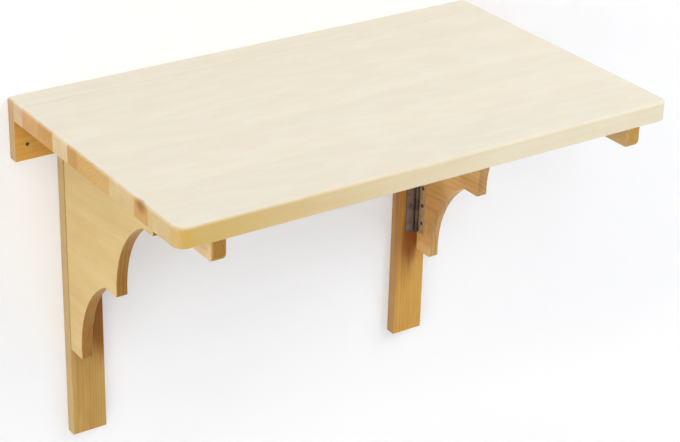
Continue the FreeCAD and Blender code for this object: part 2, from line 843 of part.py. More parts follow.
def set_screws(doc, name, screw, seats, outward):
    """Copies of a screw at these seats, with their heads facing outward."""
    across = Vector(0, 1, 0) if outward.z else Vector(0, 0, 1)
    x_dir = across.cross(outward)
    links = []
    for number, (x, y, z) in enumerate(seats, start=1):
        link = doc.addObject("App::Link", "%s_%d" % (name, number))
        link.LinkedObject = screw
        link.LinkTransform = False
        place(link, x, y, z, x_dir, outward.cross(x_dir))
        links.append(link)
    group = doc.addObject("Part::Compound", name)
    group.Links = links
    group.Label = name
    return group


def make_screws(doc, d):
    """Every screw of the table, in groups."""
    hinge_screw = make_screw(doc, d, "hinge_screw", d.hinge_screw_radius,
                             d.hinge_thickness, d.hinge_screw_length)
    batten_screw = make_screw(doc, d, "batten_screw", d.wood_screw_radius,
                              d.wood_screw_head, d.batten_screw_length)
    ledge_screw = make_screw(doc, d, "ledge_screw", d.wood_screw_radius,
                             d.wood_screw_head, d.ledge_screw_length)
    down, room = Vector(0, 0, -1), Vector(0, -1, 0)
    plate_front = -(d.rail_thickness + d.hinge_thickness)
    plate_bottom = d.underside - d.hinge_thickness
    groups = []
    for side_name, side in SIDES.items():
        inward = Vector(-side, 0, 0)
        plate_side = (d.gusset_inner - d.hinge_thickness) * side
        groups.append(set_screws(
            doc, side_name + "_post_hinge_screws", hinge_screw,
            [(x, plate_front, z) for x, z in post_hinge_seats(d, side)], room))
        groups.append(set_screws(
            doc, side_name + "_gusset_hinge_screws", hinge_screw,
            [(plate_side, y, z) for y, z in gusset_hinge_seats(d)], inward))
        groups.append(set_screws(
            doc, side_name + "_batten_screws", batten_screw,
            [(d.batten_middle * side, y, d.batten_bottom) for y in d.batten_screw_places],
            down))
    groups.append(set_screws(
        doc, "ledge_hinge_screws", hinge_screw,
        [(x, y, plate_bottom) for x, y in table_hinge_seats(d, towards_wall=True)], down))
    groups.append(set_screws(
        doc, "leaf_hinge_screws", hinge_screw,
        [(x, y, plate_bottom) for x, y in table_hinge_seats(d, towards_wall=False)], down))
    groups.append(set_screws(
        doc, "ledge_screws", ledge_screw,
        [(x, ZERO, d.ledge_middle) for x in d.ledge_screw_places], -room))
    return groups


# ---------------------------------------------------------------- table

def make_table(doc):
    """Every piece of the table that becomes a node."""
    d = Dimensions(doc)
    pieces = [make_rail(doc, d), make_ledge(doc, d), make_leaf(doc, d)]
    for side_name, side in SIDES.items():
        pieces.append(make_post(doc, d, side_name + "_post", side))
        pieces.append(make_dowels(doc, d, side_name + "_post_dowels", side))
        pieces.append(make_gusset(doc, d, side_name + "_gusset", side))
        pieces.append(make_batten(doc, d, side_name + "_batten", side))
    pieces += make_gusset_hinges(doc, d)
    pieces += make_table_hinges(doc, d)
    pieces += make_screws(doc, d)
    doc.recompute()
    return pieces


def check(doc, pieces):
    """Stop if a feature failed or a shape is unsound."""
    for item in doc.Objects:
        if {"Invalid", "Error"} & set(item.State):
            raise RuntimeError("%s failed: %s" % (item.Name, item.State))
    for piece in pieces:
        if piece.Shape.isNull() or not piece.Shape.isValid():
            raise RuntimeError("%s has an unsound shape" % piece.Label)


def write(pieces):
    os.makedirs("parts", exist_ok=True)
    for piece in pieces:
        piece.Shape.exportStep("parts/%s.step" % piece.Label)
        print("%-36s solids %d  volume %.0f mm3" % (
            piece.Label, len(piece.Shape.Solids), piece.Shape.Volume))


def main():
    doc = FreeCAD.newDocument("drop_leaf_table")
    pieces = make_table(doc)
    check(doc, pieces)
    write(pieces)


main()
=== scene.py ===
"""Looks of a wall-mounted drop-leaf table in clear pine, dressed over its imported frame.

The frame gives every board, hinge and screw its shape.  This file works out how the
wood grew: the rings of a board are cylinders about a pith line, so that one pattern
shows as stripes on a face and as arcs on an end.  Lengths are metres in the frame's
axes: X along the wall, -Y into the room, Z up, with the wall at Y = 0.
"""

import json
import logging
import math
from dataclasses import dataclass, replace
from enum import Enum
from typing import ClassVar

import bpy
import numpy as np
from mathutils import Matrix, Vector

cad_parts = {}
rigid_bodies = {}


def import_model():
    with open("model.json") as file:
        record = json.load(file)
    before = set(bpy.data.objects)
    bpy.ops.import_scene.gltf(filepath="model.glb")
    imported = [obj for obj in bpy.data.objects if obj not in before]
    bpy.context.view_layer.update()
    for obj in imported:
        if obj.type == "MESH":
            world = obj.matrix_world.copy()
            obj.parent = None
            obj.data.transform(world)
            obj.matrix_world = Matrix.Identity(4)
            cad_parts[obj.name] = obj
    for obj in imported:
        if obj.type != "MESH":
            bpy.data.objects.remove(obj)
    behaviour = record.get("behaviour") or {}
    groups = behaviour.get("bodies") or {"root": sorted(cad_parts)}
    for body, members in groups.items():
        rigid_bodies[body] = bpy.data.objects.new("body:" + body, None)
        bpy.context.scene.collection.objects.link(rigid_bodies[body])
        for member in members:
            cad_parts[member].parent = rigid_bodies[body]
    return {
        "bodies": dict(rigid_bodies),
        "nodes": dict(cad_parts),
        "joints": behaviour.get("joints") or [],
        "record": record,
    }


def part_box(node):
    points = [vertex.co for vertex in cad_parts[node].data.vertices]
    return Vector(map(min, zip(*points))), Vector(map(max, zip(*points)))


SIDES = ("left", "right")
LEVELS = ("upper", "lower")
NOISE_MIDDLE = 0.5  # what a noise texture gives on average
GUSSET_GRAIN_RISE = math.radians(5.0)  # of the grain, towards the room

Colour = tuple[float, float, float, float]
Point = tuple[float, float, float]
Range = tuple[float, float]
Socket = bpy.types.NodeSocket
Value = Socket | float | tuple[float, ...]

log = logging.getLogger("drop_leaf_table")


def paint(red: int, green: int, blue: int) -> Colour:
    """Turn a display colour into the linear one that shaders take.

    Args:
        red: Red from 0 to 255.
        green: Green from 0 to 255.
        blue: Blue from 0 to 255.

    Returns:
        Linear red, green, blue and an alpha of 1.
    """
    display = np.array([red, green, blue]) / 255.0
    linear = np.where(display <= 0.04045, display / 12.92, ((display + 0.055) / 1.055) ** 2.4)
    return (*(float(part) for part in linear), 1.0)


WHITE = paint(255, 255, 255)


# ------------------------------------------------------------------ shader wiring

class Blend(Enum):
    """How a second colour joins the first: over it, or multiplied into it."""

    COVER = "MIX"
    TINT = "MULTIPLY"


class Wiring:
    """A node tree that is being filled."""

    def __init__(self, tree: bpy.types.NodeTree) -> None:
        """Take the tree to fill."""
        self.tree = tree

    def plug(self, socket: Socket, value: Value) -> None:
        """Link a socket to another one, or set it to a constant.

        Args:
            socket: The socket.
            value: The other socket, or the constant.
        """
        if isinstance(value, Socket):
            self.tree.links.new(value, socket)
        else:
            socket.default_value = value

    def node(self, kind: str, inputs: dict[str | int, Value] | None = None,
             **settings: object) -> bpy.types.Node:
        """Add a node.

        Args:
            kind: Node type without its "ShaderNode".
            inputs: Values or links, by the name or number of the input.
            **settings: Properties of the node.

        Returns:
            The node.
        """
        made = self.tree.nodes.new("ShaderNode" + kind)
        for name, value in settings.items():
            setattr(made, name, value)
        for key, value in (inputs or {}).items():
            self.plug(made.inputs[key], value)
        return made

    def math(self, operation: str, *values: Value) -> Socket:
        """Combine numbers with one operation of the Math node."""
        return self.node("Math", dict(enumerate(values)), operation=operation).outputs[0]

    def vector(self, operation: str, *values: Value) -> Socket:
        """Combine vectors with one operation of the Vector Math node."""
        return self.node("VectorMath", dict(enumerate(values)), operation=operation).outputs[0]

    def between(self, value: Value, low: Value, high: Value,
                to_low: Value = 0.0, to_high: Value = 1.0) -> Socket:
        """Map a number smoothly from one range to another.

        Args:
            value: The number.
            low: Where the result starts to leave to_low.
            high: Where the result reaches to_high.
            to_low: Result below the range.
            to_high: Result above the range.

        Returns:
            The mapped number.
        """
        ports = {"Value": value, "From Min": low, "From Max": high,
                 "To Min": to_low, "To Max": to_high}
        return self.node("MapRange", ports, interpolation_type="SMOOTHSTEP").outputs[0]

    def fall(self, value: Value, start: float, stop: float) -> Socket:
        """Fall smoothly from 1 to 0 over a range."""
        return self.between(value, start, stop, 1.0, 0.0)

    def blend(self, amount: Value, first: Value, second: Value,
              how: Blend = Blend.COVER) -> Socket:
        """Mix two colours.

        Args:
            amount: Share of the second colour.
            first: Colour at an amount of 0.
            second: Colour at an amount of 1.
            how: How the second colour joins the first.

        Returns:
            The mixed colour.
        """
        made = self.node("Mix", {0: amount, 6: first, 7: second},
                         data_type="RGBA", blend_type=how.value)
        return made.outputs[2]

    def noise(self, position: Value, scale: float = 1.0,
              detail: float = 2.0) -> bpy.types.Node:
        """Add a noise texture, with its number and its colour as outputs."""
        return self.node("TexNoise", {"Vector": position, "Scale": scale, "Detail": detail})

    def length(self, vector: Value) -> Socket:
        """Measure a vector."""
        return self.node("VectorMath", {0: vector}, operation="LENGTH").outputs[1]

    def hypotenuse(self, first: Value, second: Value) -> Socket:
        """Give the square root of the sum of two squares."""
        squares = self.math("ADD", self.math("MULTIPLY", first, first),
                            self.math("MULTIPLY", second, second))
        return self.math("SQRT", squares)

    def split(self, vector: Value) -> list[Socket]:
        """Give the three parts of a vector."""
        return list(self.node("SeparateXYZ", {0: vector}).outputs)

    def join(self, *parts: Value) -> Socket:
        """Make a vector of three numbers."""
        return self.node("CombineXYZ", dict(enumerate(parts))).outputs[0]


class PortKind(Enum):
    """What flows through a port of a node group."""

    NUMBER = "NodeSocketFloat"
    VECTOR = "NodeSocketVector"


NUMBER, VECTOR = PortKind.NUMBER, PortKind.VECTOR


class Effect:
    """A node group that is built once and placed in each material that uses it."""

    title: ClassVar[str]
    takes: ClassVar[dict[str, PortKind]]
    gives: ClassVar[dict[str, PortKind]]

    @classmethod
    def place(cls, wiring: Wiring, **inputs: Value) -> dict[str, Socket]:
        """Place the group in a material.

        Args:
            wiring: The material's wiring.
            **inputs: Values or links, by the port's name in lower case.

        Returns:
            The outputs, by name.
        """
        tree = bpy.data.node_groups.get(cls.title) or cls.make()
        ports = {name.replace("_", " ").title(): value for name, value in inputs.items()}
        made = wiring.node("Group", node_tree=tree)
        for name, value in ports.items():
            wiring.plug(made.inputs[name], value)
        return {socket.name: socket for socket in made.outputs}

    @classmethod
    def make(cls) -> bpy.types.NodeTree:
        """Build the group.

        Returns:
            Its node tree.
        """
        tree = bpy.data.node_groups.new(cls.title, "ShaderNodeTree")
        for in_out, ports in (("INPUT", cls.takes), ("OUTPUT", cls.gives)):
            for name, kind in ports.items():
                tree.interface.new_socket(name, in_out=in_out, socket_type=kind.value)
        wiring = Wiring(tree)
        source = tree.nodes.new("NodeGroupInput").outputs
        sink = tree.nodes.new("NodeGroupOutput").inputs
        for name, value in cls.results(wiring, source).items():
            wiring.plug(sink[name], value)
        return tree

    @classmethod
    def results(cls, wiring: Wiring, source: bpy.types.NodeOutputs) -> dict[str, Socket]:
        """Wire the group.

        Args:
            wiring: The group's wiring.
            source: The group's inputs, by name.

        Returns:
            The outputs, by name.
        """
        raise NotImplementedError


class AnnualRings(Effect):
    """Rings about a pith line that runs along the board.

    Ring number = distance from the pith line / ring spacing, with the line bent by
    slow noise and rippled by quick noise.  Late wood darkens towards the end of each
    ring and stops sharply, and some years show less of it.
    """

    title = "annual rings"
    takes = {"Position": VECTOR, "Spacing": NUMBER, "Pith Across": NUMBER,
             "Pith Below": NUMBER, "Wander": NUMBER, "Seed": NUMBER}
    gives = {"Late Wood": NUMBER}

    SLOW: ClassVar[Point] = (2.2, 8.0, 8.0)
    QUICK: ClassVar[Point] = (14.0, 110.0, 110.0)
    RIPPLE: ClassVar[Point] = (0.0, 0.0012, 0.0012)
    DARKENS: ClassVar[Range] = (0.25, 0.88)
    STOPS: ClassVar[Range] = (0.92, 1.0)
    FAINTEST: ClassVar[float] = 0.45

    @classmethod
    def results(cls, wiring: Wiring, source: bpy.types.NodeOutputs) -> dict[str, Socket]:
        """Wire the rings.

        Args:
            wiring: The group's wiring.
            source: The group's inputs, by name.

        Returns:
            The outputs, by name.
        """
        seed = wiring.join(source["Seed"], source["Seed"], 0.0)

        def sway(stretch: Point) -> Socket:
            """Wire noise about 0.

            Args:
                stretch: Its scales along, across and through the board.

            Returns:
                The noise, as a vector.
            """
            drawn = wiring.vector("MULTIPLY", source["Position"], stretch)
            spot = wiring.vector("ADD", drawn, seed)
            return wiring.vector("SUBTRACT", wiring.noise(spot, detail=1.0).outputs[1],
                                 (NOISE_MIDDLE,) * 3)

        bent = wiring.node("VectorMath", {0: sway(cls.SLOW), "Scale": source["Wander"]},
                           operation="SCALE").outputs[0]
        shift = wiring.vector("MULTIPLY_ADD", sway(cls.QUICK), cls.RIPPLE, bent)
        _, across, through = wiring.split(wiring.vector("ADD", source["Position"], shift))
        across = wiring.math("SUBTRACT", across, source["Pith Across"])
        below = wiring.math("ADD", through, source["Pith Below"])
        years = wiring.math("DIVIDE", wiring.hypotenuse(across, below), source["Spacing"])
        season = wiring.math("FRACT", years)
        band = wiring.math("MULTIPLY", wiring.between(season, *cls.DARKENS),
                           wiring.fall(season, *cls.STOPS))
        chance = wiring.node("TexWhiteNoise", {"W": wiring.math("FLOOR", years)},
                             noise_dimensions="1D").outputs[0]
        strength = wiring.between(chance, 0.0, 1.0, cls.FAINTEST, 1.0)
        return {"Late Wood": wiring.math("MULTIPLY", band, strength)}


@dataclass(frozen=True)
class Streaks:
    """Noise that is drawn out along the board.

    Attributes:
        stretch: Its scales along, across and through the board.
        detail: Its detail.
        shows: Range of the noise over which the streaks come out.
    """

    stretch: Point
    detail: float
    shows: Range


class WoodFibre(Effect):
    """Streaks along the board: broad tone, fine fibre and short dark resin ducts.

    Mottle is a soft patchiness, hardly longer than wide.
    """

    title = "wood fibre"
    takes = {"Position": VECTOR, "Seed": NUMBER}
    gives = {"Tone": NUMBER, "Fibre": NUMBER, "Ducts": NUMBER, "Mottle": NUMBER}

    STREAKS: ClassVar[dict[str, Streaks]] = {
        "Tone": Streaks((2.4, 26.0, 26.0), 2.0, (0.3, 0.7)),
        "Fibre": Streaks((16.0, 620.0, 620.0), 3.0, (0.3, 0.7)),
        "Ducts": Streaks((55.0, 1500.0, 1500.0), 1.0, (0.68, 0.76)),
        "Mottle": Streaks((17.0, 52.0, 52.0), 2.0, (0.35, 0.65))}

    @classmethod
    def results(cls, wiring: Wiring, source: bpy.types.NodeOutputs) -> dict[str, Socket]:
        """Wire the streaks.

        Args:
            wiring: The group's wiring.
            source: The group's inputs, by name.

        Returns:
            The outputs, by name.
        """
        seed = wiring.join(0.0, source["Seed"], source["Seed"])
        masks = {}
        for name, streaks in cls.STREAKS.items():
            spot = wiring.vector("MULTIPLY_ADD", source["Position"], streaks.stretch, seed)
            noise = wiring.noise(spot, detail=streaks.detail).outputs[0]
            masks[name] = wiring.between(noise, *streaks.shows)
        return masks


class CutFaces(Effect):
    """Which way a face was cut: across the grain, or square to the board's thickness.

    Back is 1 on the half of the board that looks against its thickness direction.
    """

    title = "cut faces"
    takes = {"Facing": VECTOR}
    gives = {"End": NUMBER, "Face": NUMBER, "Back": NUMBER}

    END: ClassVar[Range] = (0.5, 0.85)
    FACE: ClassVar[Range] = (0.55, 0.95)
    BACK: ClassVar[Range] = (-0.2, 0.2)

    @classmethod
    def results(cls, wiring: Wiring, source: bpy.types.NodeOutputs) -> dict[str, Socket]:
        """Wire the masks of the cuts.

        Args:
            wiring: The group's wiring.
            source: The group's inputs, by name.

        Returns:
            The outputs, by name.
        """
        along, _, through = wiring.split(wiring.vector("ABSOLUTE", source["Facing"]))
        front = wiring.split(source["Facing"])[2]
        return {"End": wiring.between(along, *cls.END),
                "Face": wiring.between(through, *cls.FACE),
                "Back": wiring.fall(front, *cls.BACK)}


class EasedEdge(Effect):
    """Sanded edges: where a face looks along no axis of the board, worn unevenly. Wood takes a
    paler colour there, partly a painted highlight on the rounded edges; steel a darker one, a
    painted shade.

    Sawn is 0 on a square board and 1 on one with a sawn outline, where every direction
    square to the thickness counts as a face.
    """

    title = "eased edge"
    takes = {"Position": VECTOR, "Facing": VECTOR, "Sawn": NUMBER}
    gives = {"Edge": NUMBER}

    FLAT: ClassVar[Range] = (0.9, 0.995)
    WEAR_SCALE: ClassVar[float] = 60.0
    WEAR: ClassVar[Range] = (0.25, 0.65)
    LEAST_WORN: ClassVar[float] = 0.6

    @classmethod
    def results(cls, wiring: Wiring, source: bpy.types.NodeOutputs) -> dict[str, Socket]:
        """Wire the mask of the edges.

        Args:
            wiring: The group's wiring.
            source: The group's inputs, by name.

        Returns:
            The outputs, by name.
        """
        along, across, through = wiring.split(wiring.vector("ABSOLUTE", source["Facing"]))
        square = wiring.math("MAXIMUM", along, across)
        outline = wiring.hypotenuse(along, across)
        rim = wiring.node("Mix", {0: source["Sawn"], 2: square, 3: outline}).outputs[0]
        flat = wiring.math("MAXIMUM", rim, through)
        wear = wiring.noise(source["Position"], cls.WEAR_SCALE).outputs[0]
        mask = wiring.math("MULTIPLY", wiring.fall(flat, *cls.FLAT),
                           wiring.between(wear, *cls.WEAR, cls.LEAST_WORN, 1.0))
        return {"Edge": mask}


class Blemish(Effect):
    """A mark that fades with the distance from its centre.

    Distance = length of (position - centre) / reach, plus noise about 0, which makes the
    outline uneven.
    """

    takes = {"Position": VECTOR, "Centre": VECTOR, "Reach": VECTOR}

    STRETCH: ClassVar[Point]
    UNEVEN: ClassVar[float]

    @classmethod
    def distance(cls, wiring: Wiring, source: bpy.types.NodeOutputs) -> Socket:
        """Wire the uneven distance.

        Args:
            wiring: The group's wiring.
            source: The group's inputs, by name.

        Returns:
            The distance.
        """
        offset = wiring.vector("SUBTRACT", source["Position"], source["Centre"])
        away = wiring.length(wiring.vector("DIVIDE", offset, source["Reach"]))
        spot = wiring.vector("MULTIPLY", source["Position"], cls.STRETCH)
        noise = wiring.math("SUBTRACT", wiring.noise(spot).outputs[0], NOISE_MIDDLE)
        return wiring.math("MULTIPLY_ADD", noise, cls.UNEVEN, away)


class Knot(Blemish):
    """A knot: dark where the branch was, with a stained halo."""

    title = "knot"
    gives = {"Heart": NUMBER, "Halo": NUMBER}

    STRETCH = (160.0, 160.0, 160.0)
    UNEVEN = 0.8
    HEART: ClassVar[Range] = (0.3, 1.0)
    HALO: ClassVar[Range] = (0.6, 2.4)

    @classmethod
    def results(cls, wiring: Wiring, source: bpy.types.NodeOutputs) -> dict[str, Socket]:
        """Wire the knot's heart and its halo."""
        away = cls.distance(wiring, source)
        return {"Heart": wiring.fall(away, *cls.HEART), "Halo": wiring.fall(away, *cls.HALO)}


class HeartwoodAndShade(Blemish):
    """A patch of darker colour, uneven along the grain: darker wood on some boards, painted
    shade on others.
    """

    title = "heartwood_and_shade"
    gives = {"Patch": NUMBER}

    STRETCH = (14.0, 130.0, 130.0)
    UNEVEN = 0.5
    PATCH: ClassVar[Range] = (0.45, 1.2)

    @classmethod
    def results(cls, wiring: Wiring, source: bpy.types.NodeOutputs) -> dict[str, Socket]:
        """Wire the mask of the patch."""
        return {"Patch": wiring.fall(cls.distance(wiring, source), *cls.PATCH)}


class Handling(Effect):
    """What use and lacquer leave on a surface: a shift of roughness and a faint ripple."""

    title = "handling"
    takes = {"Position": VECTOR, "Smudge": NUMBER}
    gives = {"Roughness": NUMBER, "Ripple": NUMBER}

    SMEAR_SCALE: ClassVar[float] = 9.0
    GRIT_SCALE: ClassVar[float] = 260.0
    GRIT_SHARE: ClassVar[float] = 0.35
    SHOWS: ClassVar[Range] = (0.35, 0.95)

    @classmethod
    def results(cls, wiring: Wiring, source: bpy.types.NodeOutputs) -> dict[str, Socket]:
        """Wire the shift of roughness and the ripple.

        Args:
            wiring: The group's wiring.
            source: The group's inputs, by name.

        Returns:
            The outputs, by name.
        """
        smear = wiring.noise(source["Position"], cls.SMEAR_SCALE, detail=3.0).outputs[0]
        grit = wiring.noise(source["Position"], cls.GRIT_SCALE).outputs[0]
        both = wiring.math("MULTIPLY_ADD", grit, cls.GRIT_SHARE, smear)
        shift = wiring.math("MULTIPLY", wiring.between(both, *cls.SHOWS, -1.0, 1.0),
                            source["Smudge"])
        return {"Roughness": shift, "Ripple": grit}


class Barrel(Effect):
    """The rolled part of a hinge leaf: everything within the barrel's radius of its axis.

    The axis runs through Centre, along the grain of the plot.
    """

    title = "barrel"
    takes = {"Position": VECTOR, "Centre": VECTOR, "Radius": NUMBER}
    gives = {"Round": NUMBER}

    SQUARE_TO_AXIS: ClassVar[Point] = (0.0, 1.0, 1.0)
    FADES: ClassVar[Range] = (0.0001, 0.0005)

    @classmethod
    def results(cls, wiring: Wiring, source: bpy.types.NodeOutputs) -> dict[str, Socket]:
        """Wire the mask of the barrel.

        Args:
            wiring: The group's wiring.
            source: The group's inputs, by name.

        Returns:
            The outputs, by name.
        """
        offset = wiring.vector("MULTIPLY", wiring.vector(
            "SUBTRACT", source["Position"], source["Centre"]), cls.SQUARE_TO_AXIS)
        beyond = wiring.math("SUBTRACT", wiring.length(offset), source["Radius"])
        return {"Round": wiring.fall(beyond, *cls.FADES)}


class BrushMarks(Effect):
    """Fine lines of ground metal, with patches that lost some of their shine."""

    title = "brush marks"
    takes = {"Position": VECTOR, "Seed": NUMBER}
    gives = {"Lines": NUMBER, "Dull": NUMBER}

    STRETCH: ClassVar[Point] = (60.0, 2600.0, 2600.0)
    PATCH_SCALE: ClassVar[float] = 70.0
    DULL: ClassVar[Range] = (0.45, 0.75)

    @classmethod
    def results(cls, wiring: Wiring, source: bpy.types.NodeOutputs) -> dict[str, Socket]:
        """Wire the lines and the dull patches.

        Args:
            wiring: The group's wiring.
            source: The group's inputs, by name.

        Returns:
            The outputs, by name.
        """
        seed = wiring.join(source["Seed"], 0.0, source["Seed"])
        spot = wiring.vector("MULTIPLY_ADD", source["Position"], cls.STRETCH, seed)
        lines = wiring.noise(spot).outputs[0]
        patches = wiring.noise(wiring.vector("ADD", source["Position"], seed),
                               cls.PATCH_SCALE, detail=3.0).outputs[0]
        return {"Lines": lines, "Dull": wiring.between(patches, *cls.DULL)}


# ---------------------------------------------------------------------- finishes

class Lay(Enum):
    """How a board lies: the direction of its grain and that of its thickness."""

    LEVEL = ((1.0, 0.0, 0.0), (0.0, 0.0, 1.0))
    ON_EDGE = ((1.0, 0.0, 0.0), (0.0, -1.0, 0.0))
    UPRIGHT = ((0.0, 0.0, 1.0), (0.0, -1.0, 0.0))
    OUTWARD = ((0.0, -1.0, 0.0), (1.0, 0.0, 0.0))
    BRACKET = ((0.0, -math.cos(GUSSET_GRAIN_RISE), math.sin(GUSSET_GRAIN_RISE)),
               (1.0, 0.0, 0.0))

    def turn(self) -> Matrix:
        """Rotation from the frame's axes to along, across and through the board."""
        along, through = (Vector(direction) for direction in self.value)
        return Matrix((along, through.cross(along), through))


@dataclass(frozen=True)
class Plot:
    """Where a board is: its middle and how it lies."""

    middle: Point
    lay: Lay

    @staticmethod
    def of(node: str, lay: Lay) -> "Plot":
        """The plot of one of the frame's boards."""
        low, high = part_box(node)
        return Plot(tuple((low + high) / 2), lay)

    def within(self, point: Point) -> Point:
        """Turn a point of the frame into one along, across and through the board."""
        return tuple(self.lay.turn() @ (Vector(point) - Vector(self.middle)))

    def coordinates(self, wiring: Wiring) -> tuple[Socket, Socket]:
        """Wire the board's own coordinates.

        Args:
            wiring: The material's wiring.

        Returns:
            Position and facing, each as along, across and through the board.
        """
        turn = self.lay.turn()
        angles = tuple(turn.to_euler("XYZ"))
        shift = tuple(-(turn @ Vector(self.middle)))
        source = wiring.node("TexCoord").outputs
        position = wiring.node("Mapping", {"Vector": source["Object"], "Location": shift,
                                           "Rotation": angles}, vector_type="POINT")
        facing = wiring.node("Mapping", {"Vector": source["Normal"], "Rotation": angles},
                             vector_type="VECTOR")
        return position.outputs[0], facing.outputs[0]


def start_material(name: str) -> tuple[bpy.types.Material, Wiring, bpy.types.Node]:
    """Make an empty material with a Principled surface.

    Args:
        name: Name of the material.

    Returns:
        The material, its wiring and its Principled BSDF.
    """
    material = bpy.data.materials.new(name)
    material.use_nodes = True
    wiring = Wiring(material.node_tree)
    wiring.tree.nodes.clear()
    surface = wiring.node("BsdfPrincipled")
    wiring.node("OutputMaterial", {"Surface": surface.outputs[0]})
    return material, wiring, surface


@dataclass(frozen=True)
class KnotPlace:
    """A knot of a board.

    Attributes:
        centre: Its centre in the frame's axes.
        reach: Its reach along, across and through the board.
    """

    centre: Point
    reach: Point


@dataclass(frozen=True)
class HeartAndShadePlace:
    """A patch of darker colour: darker wood on some boards, painted shade on others.

    Attributes:
        centre: Its centre in the frame's axes.
        reach: Its reach along, across and through the board.
        tint: What the colour is multiplied by in its middle.
    """

    centre: Point
    reach: Point
    tint: Colour


@dataclass(frozen=True)
class Figure:
    """How strongly the growth of the wood shows on each kind of cut, from 0 to 1."""

    face: float = 0.4
    side: float = 0.3
    end: float = 0.4

    def strength(self, wiring: Wiring, cut: dict[str, Socket]) -> Socket:
        """Wire the strength for the cut that a point lies on."""
        long_grain = wiring.between(cut["Face"], 0.0, 1.0, self.side, self.face)
        return wiring.node("Mix", {0: cut["End"], 2: long_grain, 3: self.end}).outputs[0]


@dataclass(frozen=True)
class Pine:
    """Pine board under satin lacquer.

    Attributes:
        face: Colour of the broad faces.
        back: Colour of the face against the thickness direction, if it differs; the gussets
            use face and back for lit and shaded copies of one colour.
        side: Colour of the narrow sides.
        end: Colour of the end grain.
        late: Tint of late wood, resin ducts and the halo of a knot.
        stain: Tint of the broad tone and the fibre.
        blush: Tint of the soft mottle.
        knot: Colour of a knot's heart.
        edge: Colour of the sanded edges; where it is paler than the faces, it is partly a
            painted highlight on the rounded edges.
        figure: Strength of all growth marks on each kind of cut.
        ring_share: Strength of the rings on faces and sides.
        end_ring_share: Strength of the rings on the end grain.
        tone_share: Strength of the broad tone.
        mottle_share: Strength of the soft mottle.
        ring_spacing: Width of one ring.
        pith_across: Place of the pith across the board, from its middle.
        pith_below: Depth of the pith below the middle of the board.
        wander: How far the pith line strays.
        sawn: 1 for a board with a sawn outline, 0 for a square one.
        roughness: Roughness of the lacquer on early wood.
        seed: Place in the noise.
        knots: Knots of the board.
        hearts_and_shades: Patches of darker colour, some of darker wood and some of painted
            shade.
    """

    face: Colour = paint(222, 178, 112)
    back: Colour | None = None
    side: Colour = paint(218, 172, 104)
    end: Colour = paint(214, 168, 108)
    late: Colour = paint(196, 142, 84)
    stain: Colour = paint(236, 206, 168)
    blush: Colour = paint(236, 216, 196)
    knot: Colour = paint(156, 108, 50)
    edge: Colour = paint(240, 214, 168)
    figure: Figure = Figure()
    ring_share: float = 1.0
    end_ring_share: float = 1.0
    tone_share: float = 0.8
    mottle_share: float = 0.6
    ring_spacing: float = 0.0045
    pith_across: float = 0.012
    pith_below: float = 0.055
    wander: float = 0.012
    sawn: float = 0.0
    roughness: float = 0.52
    seed: float = 1.0
    knots: tuple[KnotPlace, ...] = ()
    hearts_and_shades: tuple[HeartAndShadePlace, ...] = ()

    FIBRE_SHARE: ClassVar[float] = 0.4
    DUCT_SHARE: ClassVar[float] = 0.5
    EDGE_SHARE: ClassVar[float] = 0.35
    HALO_SHARE: ClassVar[float] = 0.7
    SMUDGE: ClassVar[float] = 0.05
    LATE_SHINE: ClassVar[float] = 0.05
    EDGE_SHINE: ClassVar[float] = 0.07
    SPECULAR: ClassVar[float] = 0.22
    COAT: ClassVar[float] = 0.03
    COAT_ROUGHNESS: ClassVar[float] = 0.35
    RELIEF: ClassVar[float] = 0.00006
    RELIEF_STRENGTH: ClassVar[float] = 0.6
    FIBRE_HEIGHT: ClassVar[float] = 0.25
    LATE_HEIGHT: ClassVar[float] = 0.5
    DUCT_DEPTH: ClassVar[float] = 0.4
    RIPPLE_HEIGHT: ClassVar[float] = 0.35

    def ground(self, wiring: Wiring, position: Socket, cut: dict[str, Socket]) -> Socket:
        """Colour of the wood between its rings.

        Args:
            wiring: The material's wiring.
            position: Position along, across and through the board; not used.
            cut: Masks of the end grain and of the broad faces.

        Returns:
            The colour.
        """
        face = wiring.blend(cut["Back"], self.face, self.back or self.face)
        long_grain = wiring.blend(cut["Face"], self.side, face)
        return wiring.blend(cut["End"], long_grain, self.end)

    def ring_place(self, wiring: Wiring, position: Socket) -> tuple[Socket, Value, Value]:
        """Position for the rings, and the pith's place across and below."""
        return position, self.pith_across, self.pith_below

    def material(self, name: str, plot: Plot) -> bpy.types.Material:
        """Make the material of one board.

        Args:
            name: Name of the material.
            plot: Where the board is.

        Returns:
            The material.
        """
        material, wiring, surface = start_material(name)
        position, facing = plot.coordinates(wiring)
        cut = CutFaces.place(wiring, facing=facing)
        spot, across, below = self.ring_place(wiring, position)
        rings = AnnualRings.place(wiring, position=spot, spacing=self.ring_spacing,
                                  pith_across=across, pith_below=below,
                                  wander=self.wander, seed=self.seed)["Late Wood"]
        fibre = WoodFibre.place(wiring, position=position, seed=self.seed)
        edge = EasedEdge.place(wiring, position=position, facing=facing,
                               sawn=self.sawn)["Edge"]

        colour = self.ground(wiring, position, cut)
        strength = self.figure.strength(wiring, cut)
        ring_share = wiring.between(cut["End"], 0.0, 1.0, self.ring_share, self.end_ring_share)
        for mask, share, tint in ((fibre["Tone"], self.tone_share, self.stain),
                                  (fibre["Mottle"], self.mottle_share, self.blush),
                                  (rings, ring_share, self.late),
                                  (fibre["Fibre"], self.FIBRE_SHARE, self.stain),
                                  (fibre["Ducts"], self.DUCT_SHARE, self.late)):
            amount = wiring.math("MULTIPLY", wiring.math("MULTIPLY", mask, share), strength)
            colour = wiring.blend(amount, colour, tint, Blend.TINT)
        # Sanded edges, paler partly as a painted highlight on the rounded edges.
        colour = wiring.blend(wiring.math("MULTIPLY", edge, self.EDGE_SHARE),
                              colour, self.edge)
